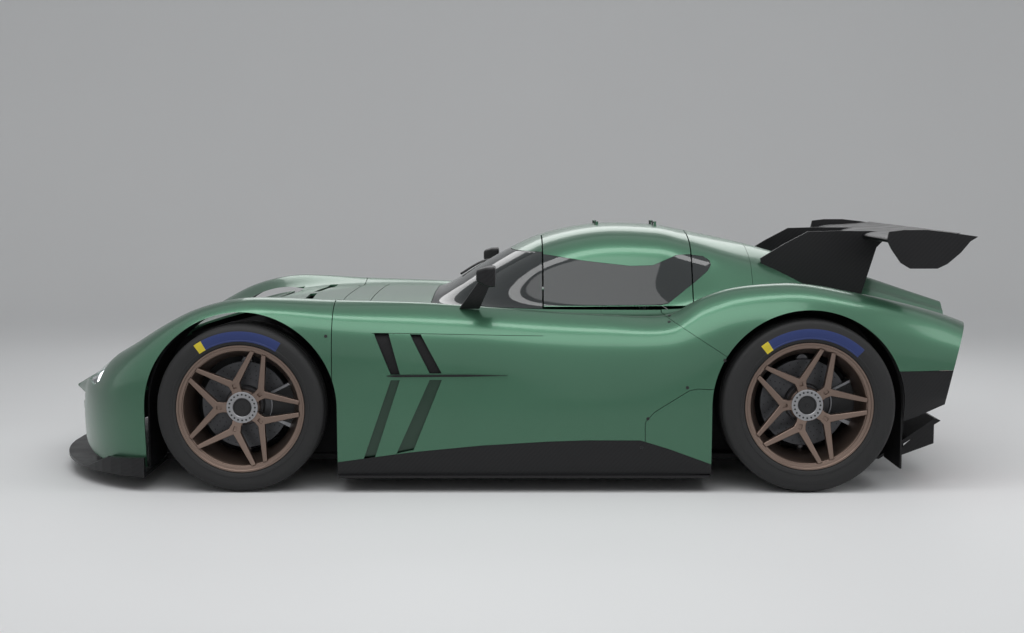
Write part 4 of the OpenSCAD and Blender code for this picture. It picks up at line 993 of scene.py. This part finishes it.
def build_wing():
    """Wing blade, end plates and swept fins."""
    chord, rise = 300, 34
    u = np.linspace(0, 1, 34) ** 1.4
    bulge = np.sin(np.pi * np.sqrt(u))
    over = zip(-chord * u, rise * u * u + 17 * bulge)
    under = list(zip(-chord * u, rise * u * u - 22 * bulge * (1 - u) - 1.2))[::-1][:-1]
    shapes = [prism([(x - 1720, z + 1118) for x, z in (*over, *under)], "y", -848, 848)]
    shapes += [soften(prism(END_PLATE, "y", *across(side, 848, 860)), 2.5) for side in (1, -1)]
    piece("wing_panels", joined(*shapes), "chassis", "carbon", ("wing",), 40.0)
    fins = make_object("wing_fins", both_sides(soften(prism(FIN, "y", 253, 267), 2.0)))
    helpers = boolean(fins, [body_block(-1900, -1100, *across(side, 0, 3.2), 0.5, 260) for side in (1, -1)])
    freeze(fins)
    drop(helpers)
    dress(fins, "chassis", "carbon")


def hull(points):
    """The convex hull of the points."""
    bm = bmesh.new()
    for point in points:
        bm.verts.new(point)
    bmesh.ops.convex_hull(bm, input=bm.verts)
    return bm


def build_mirrors():
    """Mirror housings on their arms, with the glass."""
    head = hull([(x, y, z) for x, y0, y1, z0, z1 in MIRROR_SECTIONS for y in (y0, y1) for z in (z0, z1)])
    bmesh.ops.dissolve_limit(head, angle_limit=0.02, verts=head.verts, edges=head.edges)
    arm = hull([(x, y, z) for y, z in ((840, 938), (858, 932)) for x in (70, 128)]
               + [(x, y, z) for y, z in ((776, 812), (790, 806)) for x in (124, 216)])
    shapes = [soften(head, 12, 4, 20), soften(arm, 4, 3, 25)]
    piece("mirror_housings", both_sides(joined(*shapes)), "chassis", "carbon", ("mirrors",))
    glass = soften(prism(rect(804, 938, 922, 998), "x", 50.2, 52), 0.8)
    piece("mirror_glasses", both_sides(glass), "chassis", "nut")


def build_screws():
    """Flush fasteners along the panel seams of the flanks."""
    shapes = []
    for x, z in SCREWS:
        s = BODY.line_at(x, z, 1.6)
        p, n = BODY.point(x, s), Vector(BODY.normal(x, s))
        bm = bmesh.new()
        bmesh.ops.create_cone(bm, cap_ends=True, segments=20, radius1=8, radius2=7, depth=3)
        turn = n.to_track_quat("Z", "Y").to_matrix().to_4x4()
        bmesh.ops.transform(bm, verts=bm.verts, matrix=Matrix.Translation(p) @ turn)
        shapes.append(bm)
    piece("panel_fasteners", both_sides(joined(*shapes)), "chassis", "black")


# Wheels, in the wheel's own frame: the axle along Y, with places inboard from the tyre's outer face.
def place_wheel(bm, wheel):
    """Carries a shape from the wheel's own frame to its corner of the car."""
    axle_x, face_y, radius, _, side = wheel[1:6]
    bmesh.ops.translate(bm, verts=bm.verts, vec=(0, face_y, 0))
    if side < 0:
        bmesh.ops.scale(bm, vec=(1, -1, 1), verts=bm.verts)
        bmesh.ops.reverse_faces(bm, faces=bm.faces)
    bmesh.ops.translate(bm, verts=bm.verts, vec=(axle_x, 0, radius))
    return bm


def map_wheel(obj, wheel):
    """Gives a wheel piece a map of its places about the axle, in metres."""
    layer = obj.data.uv_layers.new(name="wheel")
    for loop in obj.data.loops:
        v = obj.data.vertices[loop.vertex_index].co
        layer.data[loop.index].uv = (v.x - wheel[1] * MM, v.z - wheel[3] * MM)


def tyre_profile(radius, width):
    """A tyre's section with its bead, sidewall rings, shoulder and grooves."""
    half = [(267, 24), (285.5, 24), (287, 13), (295, 7), (299, 6.5), (300.5, 4), (307, 2.6), (309, 4.2), (330, 1.4),
            (345, 2.6), (347, 4.0), (352, 4.6)]
    half += [(radius - d, o) for d, o in ((20, 7.5), (14, 11), (9, 16), (5.5, 24), (3.5, 36))]
    grooves = []
    for centre in (62, 108):
        places = ((2.2, -6), (9, -4.5), (9, 4.5), (1.6, 6))
        grooves += [(radius - depth, centre + o) for depth, o in places]
    half += grooves + [(radius, width / 2)]
    return half + [(r, width - o) for r, o in reversed(half[:-1])]


def rim_arm():
    """One arm of a rim along Z: a stem with a square window that splits in two legs, dished towards the hub."""
    end_x, end_z = 262 * math.sin(math.pi / 6), 262 * math.cos(math.pi / 6)
    half = ((26, 56), (22, 84), (27, 108), (end_x + 8, end_z - 8), (end_x - 7, end_z + 5), (13, 137), (0, 127))
    outline = list(half) + [(-x, z) for x, z in reversed(half[:-1])]
    bm = prism(outline, "y", -30, 0)
    top = [f for f in bm.faces if f.normal.y > 0.9]
    edges = list({e for f in top for e in f.edges})
    bmesh.ops.bevel(bm, geom=edges, offset=4.2, offset_type="OFFSET", affect="EDGES", segments=3, profile=0.5,
                    material=-1)
    solid = make_object("arm", bm)
    helpers = boolean(solid, [soften(prism(rect(-8.5, 8.5, 89, 112), "y", -9, 10), 3, 3, 60)])
    arm = taken(solid)
    drop(helpers)
    for v in arm.verts:
        v.co.y -= 17.0 + ARM_SHEAR * (end_z - v.co.z)
    return arm


def build_rim(wheel):
    """A rim: stepped lip, tapered barrel, five arms that split in two, and the hub."""
    name, w, body = wheel[0], wheel[4], wheel[6]
    barrel = turned(((277, 10.5), (284, 11), (284, 22), (266, 24), (266, 50), (236, 112), (236, w - 90), (266, w - 60),
                     (266, w - 24), (284, w - 24), (284, w - 10), (272, w - 10), (254, w - 40), (250, w - 62),
                     (226, w - 94), (226, 112), (250, 46), (256, 34), (258, 31), (261, 29.5), (262, 23), (264, 21.5),
                     (273, 19.5), (274.5, 18.5), (275, 12.5)), 128)
    arm = rim_arm()
    shapes = [barrel]
    for k in range(5):
        shapes.append(rotated(arm.copy(), 90 - 72 * k))
    arm.free()
    shapes.append(turned(((31, HUB_IN), (60, HUB_IN), (72, HUB_IN + 2), (76, HUB_IN + 6), (76, 120), (31, 120)), 64))
    bm = place_wheel(joined(*shapes), wheel)
    return piece(f"rim_{name}_wheel", bm, body, "bronze", (f"rim_{name}",), 28.0)


def build_wheel_parts(wheel):
    """Tyre, disc, centre nut and caliper of one corner."""
    name, _, _, radius, width, _, body, carrier = wheel
    tyre = make_object(f"tyre_{name}_rubber", place_wheel(turned(tyre_profile(radius, width), 128), wheel))
    map_wheel(tyre, wheel)
    dress(tyre, body, f"{name.split('_')[0]}_tyre", (f"tyre_{name}",), 40.0)
    ring = [turned(((108, 150), (195, 150), (195, 161), (112, 161)), 96),
            turned(((108, 171), (195, 171), (195, 182), (108, 182)), 96),
            turned(((33, 120), (84, 120), (88, 124), (90, 150), (112, 152), (112, 180), (92, 180), (86, 160),
                    (33, 160)), 96)]
    for k in range(36):
        ring.append(rotated(prism(rect(112, 190, -1.5, 1.5), "y", -172, -160), 10 * k))
    disc = make_object(f"disc_{name}_rotor", place_wheel(joined(*ring), wheel))
    map_wheel(disc, wheel)
    dress(disc, body, "disc", (f"disc_{name}",), 30.0)
    holes = []
    for k in range(30):
        for i, r in enumerate((120, 140, 160, 180)):
            a = math.radians(12 * k + 3 * i)
            holes.append(drum(r * math.sin(a), r * math.cos(a), 3.2, -151, -149.7, 8))
    piece(f"disc_{name}_drillings", place_wheel(joined(*holes), wheel), body, "black")
    face = HUB_IN - 9.0
    nut = turned(((41, face + 12), (41, face + 3), (44, face + 0.6), (66, face), (70, face + 2), (71.5, face + 6),
                  (71.5, face + 12)), 80)
    piece(f"centre_nut_{name}", place_wheel(nut, wheel), body, "nut")
    dots = [turned(((0.5, face + 3), (9, face + 3), (10, face + 4.5), (34, face + 4.5), (36, face + 2), (41, face + 2),
                    (41, face + 12), (0.5, face + 12)), 48)]
    for k in range(20):
        a = math.radians(18 * k)
        dots.append(drum(58 * math.sin(a), 58 * math.cos(a), 4.4, -face - 8, -face + 0.3, 12))
    piece(f"centre_nut_{name}_recesses", place_wheel(joined(*dots), wheel), body, "black")
    polar = [(231, a) for a in range(155, 206, 3)] + [(122, a) for a in range(205, 154, -3)]
    outline = [(r * math.cos(math.radians(a)), r * math.sin(math.radians(a))) for r, a in polar]
    bolts = [soften(prism(outline, "y", -144, -133.5), 4, 3, 50)]
    for a in (160, 200):
        for r in (140, 212):
            t = math.radians(a)
            bolts.append(drum(r * math.cos(t), r * math.sin(t), 8, -134, -128, 6))
    piece(f"caliper_{name}", place_wheel(joined(*bolts), wheel), carrier, "black")


def build_bay_walls():
    """Dark walls inside the wheel bays."""
    walls = [prism(rect(-1900, -900, 96, 700), "y", y, y + 6) for y in (424, -430)]
    front = ((775, 96), (775, 770), (1000, 780), (1182, 750), (1400, 694), (1550, 636), (1700, 570), (1700, 96))
    walls += [prism(front, "y", y, y + 6) for y in (486, -492)]
    piece("bay_walls", joined(*walls), "chassis", "trim")


# Cabin.
def build_cabin():
    """Cage tubes, and seats with their pads."""
    half = ((480, 92.5), (480, 700), (440, 880), (350, 1015), (180, 1090))
    hoop = [(-648, y, z) for y, z in half] + [(-648, -y, z) for y, z in half[::-1]]
    side = ((-652, 340, 1020), (-300, 372, 1024), (-110, 385, 970), (180, 476, 806), (200, 480, 760), (200, 480, 92.5))
    tubes = [tube(hoop, 19, 16), both_sides(tube(side, 19, 16)),
             tube(((-290, 368, 1022), (-290, -368, 1022)), 16, 12, False),
             tube(((-648, 478, 742), (-648, -478, 742)), 16, 12, False)]
    piece("cage_tubes", joined(*tubes), "chassis", "cage", ("roll_cage",))
    shells, pads = [], []
    for centre in (215, -215):
        base = prism(((-40, 92), (-60, 230), (-330, 190), (-520, 730), (-470, 790), (-540, 990), (-600, 990),
                      (-620, 730), (-430, 152), (-420, 92)), "y", centre - 168, centre + 168)
        shells.append(soften(base, 6, 3, 20))
        for m in (-1, 1):
            cheek = prism(((-40, 92), (-60, 302), (-300, 322), (-470, 652), (-600, 732), (-430, 152), (-420, 92)),
                          "y", *sorted((centre + m * 171, centre + m * 194)))
            shells.append(soften(cheek, 7, 3, 20))
        for outline, half in ((((-70, 234), (-75, 250), (-200, 242), (-310, 222), (-325, 196)), 150),
                              (((-338, 205), (-322, 215), (-420, 500), (-505, 735), (-520, 727)), 140)):
            pads.append(soften(prism(outline, "y", centre - half, centre + half), 7, 4, 20))
    piece("seat_shells", joined(*shells), "chassis", "matt_carbon", ("seats",))
    cushions = piece("seat_pads", joined(*pads), "chassis", "fabric")


def build_hand_wheel():
    """The hand wheel, made flat and then carried to its column."""
    ring = [(150 + 13 * math.cos(a), 13 * math.sin(a)) for a in np.linspace(0, 2 * math.pi, 17)[:-1]]
    shapes = [turned(ring, 72)]
    for a in (90, 210, 330):
        arm = soften(prism(((-13, 20), (13, 20), (11, 146), (-11, 146)), "y", -5, 5), 2.0)
        shapes.append(rotated(arm, a))
    shapes.append(turned(((0.5, -15), (30, -15), (34, -10), (34, 14), (12, 15), (12, 31), (0.5, 31)), 40))
    hand = joined(*shapes)
    turn = (Matrix.Rotation(math.radians(110), 4, "Y") @ Matrix.Rotation(math.pi / 2, 4, "X")
            @ Matrix.Scale(-1, 4, (0, 1, 0)))
    bmesh.ops.transform(hand, verts=hand.verts, matrix=Matrix.Translation((55, 215, 700)) @ turn)
    bmesh.ops.recalc_face_normals(hand, faces=hand.faces)
    piece("hand_wheel_rim", hand, "hand_wheel", "trim", ("steering_wheel",))


CAD_LOOKS = {
    "tub": "matt_carbon", "splitter": "carbon", "sill_blades": "carbon", "wheel_liners": "matt_carbon",
    "diffuser": "carbon", "rear_panel": "matt_carbon", "taillights": "red_lamp", "dashboard": "trim",
    "engine_block": "engine", "front_suspension": "alloy", "rear_suspension": "alloy", "knuckle_left": "alloy",
    "knuckle_right": "alloy",
}


# Settings a user would change.
COLOUR = {"subtype": "COLOR", "size": 3, "min": 0.0, "max": 1.0}


class HypercarPaintSettings(bpy.types.PropertyGroup):
    """Colours of the car."""

    body_green: FloatVectorProperty(name="Body paint", description="Base colour of the satin metallic paint", **COLOUR,
                                    default=(0.046, 0.130, 0.078))
    wheel_bronze: FloatVectorProperty(name="Wheels", description="Colour of the satin bronze rims", **COLOUR,
                                      default=(0.190, 0.140, 0.116))
    glass_tint: FloatVectorProperty(name="Glass", description="Tint of the glass", **COLOUR,
                                    default=(0.012, 0.017, 0.018))


class HypercarShapeSettings(bpy.types.PropertyGroup):
    """Sizes of the looks."""

    seam: FloatProperty(name="Half seam", description="How far each fixed panel stands back from its seam",
                        unit="LENGTH", min=0.0005, max=0.004, default=0.0018)


class HypercarStageSettings(bpy.types.PropertyGroup):
    """Floor, lamps and camera."""

    floor_half: FloatProperty(name="Floor", description="Half of the floor's width", unit="LENGTH", min=5.0, max=60.0,
                              default=30.0)
    backdrop: FloatVectorProperty(name="Backdrop", description="Colour of the backdrop", **COLOUR,
                                  default=(0.80, 0.81, 0.82))
    ambient: FloatProperty(name="Ambient", description="Strength of the even light", min=0.0, max=2.0, default=0.4)
    key_power: FloatProperty(name="Key lamp", description="Power of the large lamp above the near side", min=0.0,
                             max=2000.0, default=85.0)
    camera_place: FloatVectorProperty(name="Camera", description="Place of the camera", subtype="TRANSLATION",
                                      unit="LENGTH", size=3, default=(-0.0225, 7.47, 1.40))
    camera_pitch: FloatProperty(name="Pitch", description="How far the camera looks down", subtype="ANGLE",
                                default=math.radians(5.363))
    camera_lens: FloatProperty(name="Lens", description="Focal length in millimetres", min=10.0, max=200.0,
                               default=52.24)


def seam_mm():
    """The half seam in millimetres."""
    return bpy.context.scene.hypercar_shape.seam / MM


class HYPERCAR_OT_front_body(bpy.types.Operator):
    """Build the front clip and the cowl"""

    bl_idname = "hypercar.front_body"
    bl_label = "Front body"

    def execute(self, context):
        build_nose(seam_mm())
        build_grille()
        build_cowl(seam_mm())
        return {"FINISHED"}


class HYPERCAR_OT_flanks(bpy.types.Operator):
    """Build the flanks, skirts, blades and outlets"""

    bl_idname = "hypercar.flanks"
    bl_label = "Flanks"

    def execute(self, context):
        build_sides(seam_mm())
        build_screws()
        return {"FINISHED"}


class HYPERCAR_OT_rear_body(bpy.types.Operator):
    """Build the rear clip and its dark corners"""

    bl_idname = "hypercar.rear_body"
    bl_label = "Rear body"

    def execute(self, context):
        build_rear(seam_mm())
        return {"FINISHED"}


class HYPERCAR_OT_roof(bpy.types.Operator):
    """Build the roof and both doors"""

    bl_idname = "hypercar.roof"
    bl_label = "Roof and doors"

    def execute(self, context):
        build_roof()
        build_doors()
        return {"FINISHED"}


class HYPERCAR_OT_glass(bpy.types.Operator):
    """Build the windscreen, quarter panes and lamps"""

    bl_idname = "hypercar.glass"
    bl_label = "Glass and lamps"

    def execute(self, context):
        build_glass()
        build_lamps()
        return {"FINISHED"}


class HYPERCAR_OT_wing(bpy.types.Operator):
    """Build the wing and the mirrors"""

    bl_idname = "hypercar.wing"
    bl_label = "Wing and mirrors"

    def execute(self, context):
        build_wing()
        build_mirrors()
        return {"FINISHED"}


class HYPERCAR_OT_wheels(bpy.types.Operator):
    """Build the rims, tyres, discs, nuts and calipers"""

    bl_idname = "hypercar.wheels"
    bl_label = "Wheels"

    def execute(self, context):
        for wheel in WHEELS:
            build_rim(wheel)
            build_wheel_parts(wheel)
        return {"FINISHED"}


class HYPERCAR_OT_cabin(bpy.types.Operator):
    """Build the cage, the seats and the hand wheel"""

    bl_idname = "hypercar.cabin"
    bl_label = "Cabin"

    def execute(self, context):
        build_cabin()
        build_hand_wheel()
        build_bay_walls()
        return {"FINISHED"}


class HYPERCAR_OT_frame_looks(bpy.types.Operator):
    """Give the CAD parts that stay in view their finishes"""

    bl_idname = "hypercar.frame_looks"
    bl_label = "Frame finishes"

    def execute(self, context):
        for node, look in CAD_LOOKS.items():
            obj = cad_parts[node]
            obj.data.materials.clear()
            obj.data.materials.append(finish(look).material)
            finish(look).slot
        return {"FINISHED"}


# Stage. The floor bends up behind the car, from FLOOR_BACK_Y with the radius FLOOR_BEND.
FLOOR_BACK_Y = -7000.0
FLOOR_BEND = 4000.0
WALL_Z = 16000.0

# Name, place, target, size and share of the key lamp's power.
LAMPS = (
    ("key_lamp", (0.6, 3.6, 4.4), (0.0, 0.2, 0.5), (6.0, 2.6), 1.0),
    ("strip_lamp", (0.0, 1.3, 3.6), (0.0, 0.7, 0.8), (6.5, 0.5), 0.55),
    ("far_lamp", (-0.5, -4.2, 3.2), (0.0, 0.0, 0.8), (6.0, 1.6), 0.6),
    ("tail_lamp", (-5.0, 1.5, 2.2), (-1.2, 0.0, 0.7), (2.4, 2.0), 0.35),
)


def build_floor(half, colour):
    """A plain floor that bends up into a wall, in one sheet."""
    profile = [(half, 0.0), (FLOOR_BACK_Y, 0.0)]
    for a in np.linspace(0, math.pi / 2, 25)[1:]:
        profile.append((FLOOR_BACK_Y - FLOOR_BEND * math.sin(a), FLOOR_BEND * (1 - math.cos(a))))
    profile.append((FLOOR_BACK_Y - FLOOR_BEND, WALL_Z))
    bm = bmesh.new()
    line = [bm.verts.new((-half, y, z)) for y, z in profile]
    edges = [bm.edges.new(pair) for pair in zip(line, line[1:])]
    grown = bmesh.ops.extrude_edge_only(bm, edges=edges)["geom"]
    far = [v for v in grown if isinstance(v, bmesh.types.BMVert)]
    bmesh.ops.translate(bm, verts=far, vec=(2 * half, 0, 0))
    bmesh.ops.recalc_face_normals(bm, faces=bm.faces)
    if bm.faces[:][0].normal.z < 0:
        bmesh.ops.reverse_faces(bm, faces=bm.faces)
    floor = make_object("studio_floor", bm)
    for face in floor.data.polygons:
        face.use_smooth = True
    look = Finish("Studio floor", None)
    grain = look.noise(0.6, 2.0)
    look.surface(Base_Color=look.mix(grain, brighter(colour, 0.98), brighter(colour, 1.02)),
                 Roughness=look.range(grain, 0, 1, 0.5, 0.6))
    floor.data.materials.append(look.material)
    return floor


def build_lamp(name, place, target, size, share, power):
    """A soft area lamp that points at the target."""
    data = bpy.data.lights.new(name, "AREA")
    data.shape = "RECTANGLE"
    data.size, data.size_y = size
    data.energy = power * share
    lamp = bpy.data.objects.new(name, data)
    lamp.location = place
    lamp.rotation_euler = (Vector(target) - Vector(place)).to_track_quat("-Z", "Y").to_euler()
    bpy.context.scene.collection.objects.link(lamp)
    return lamp


def build_sky(colour, ambient):
    """An even light whose colour shows only to the camera, in mirrors and through glass."""
    world = bpy.data.worlds.new("Studio")
    bpy.context.scene.world = world
    sky = Tree(world)
    camera, glossy, passed = [sky.node("ShaderNodeLightPath", out=ray)
                              for ray in ("Is Camera Ray", "Is Glossy Ray", "Is Transmission Ray")]
    either = camera.math("MAXIMUM", glossy).math("MAXIMUM", passed)
    seen = sky.node("ShaderNodeBackground", None, {"Color": (*colour, 1.0)})
    light = sky.node("ShaderNodeBackground", None, {"Color": (1.0, 1.0, 1.0, 1.0), "Strength": ambient})
    both = sky.node("ShaderNodeMixShader", None, {0: either, 1: light, 2: seen})
    sky.node("ShaderNodeOutputWorld", None, {"Surface": both})


def build_camera(settings):
    """The camera at the photo's place."""
    scene = bpy.context.scene
    data = bpy.data.cameras.new("Camera")
    data.lens = settings.camera_lens
    data.sensor_width = 36.0
    data.clip_end = 200.0
    scene.camera = bpy.data.objects.new("Camera", data)
    scene.camera.location = settings.camera_place
    scene.camera.rotation_euler = (math.pi / 2 - settings.camera_pitch, 0.0, math.pi)
    scene.collection.objects.link(scene.camera)


class HYPERCAR_OT_stage(bpy.types.Operator):
    """Build the plain floor, the soft lamps, the backdrop and the camera"""

    bl_idname = "hypercar.stage"
    bl_label = "Stage"

    def execute(self, context):
        settings = context.scene.hypercar_stage
        colour = tuple(settings.backdrop)
        floor = build_floor(settings.floor_half / MM, colour)
        [build_lamp(*lamp, settings.key_power) for lamp in LAMPS]
        build_sky(colour, settings.ambient)
        build_camera(settings)
        context.scene.view_settings.view_transform = "Standard"
        return {"FINISHED"}


class HYPERCAR_PT_panel(bpy.types.Panel):
    """The hypercar's settings and builders"""

    bl_idname = "HYPERCAR_PT_panel"
    bl_label = "Track hypercar"
    bl_space_type = "VIEW_3D"
    bl_region_type = "UI"
    bl_category = "Hypercar"

    def draw(self, context):
        for group in (context.scene.hypercar_paint, context.scene.hypercar_shape, context.scene.hypercar_stage):
            for key in group.__annotations__:
                self.layout.prop(group, key)
        for builder in BUILDERS:
            self.layout.operator(builder.bl_idname)


SETTINGS = (("hypercar_paint", HypercarPaintSettings), ("hypercar_shape", HypercarShapeSettings),
            ("hypercar_stage", HypercarStageSettings))
BUILDERS = (HYPERCAR_OT_front_body, HYPERCAR_OT_flanks, HYPERCAR_OT_rear_body, HYPERCAR_OT_roof, HYPERCAR_OT_glass,
            HYPERCAR_OT_wing, HYPERCAR_OT_wheels, HYPERCAR_OT_cabin, HYPERCAR_OT_frame_looks, HYPERCAR_OT_stage)


def register():
    """Registers the settings, builders and panel."""
    for name, group in SETTINGS:
        bpy.utils.register_class(group)
        setattr(bpy.types.Scene, name, PointerProperty(type=group))
    for cls in BUILDERS + (HYPERCAR_PT_panel,):
        bpy.utils.register_class(cls)


def unregister():
    """Takes them away again."""
    for cls in reversed(BUILDERS + (HYPERCAR_PT_panel,)):
        bpy.utils.unregister_class(cls)
    for name, group in reversed(SETTINGS):
        delattr(bpy.types.Scene, name)
        bpy.utils.unregister_class(group)


def main():
    """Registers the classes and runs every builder."""
    register()
    for builder in BUILDERS:
        getattr(bpy.ops.hypercar, builder.bl_idname.split(".")[1])()


if __name__ == "__main__":
    main()
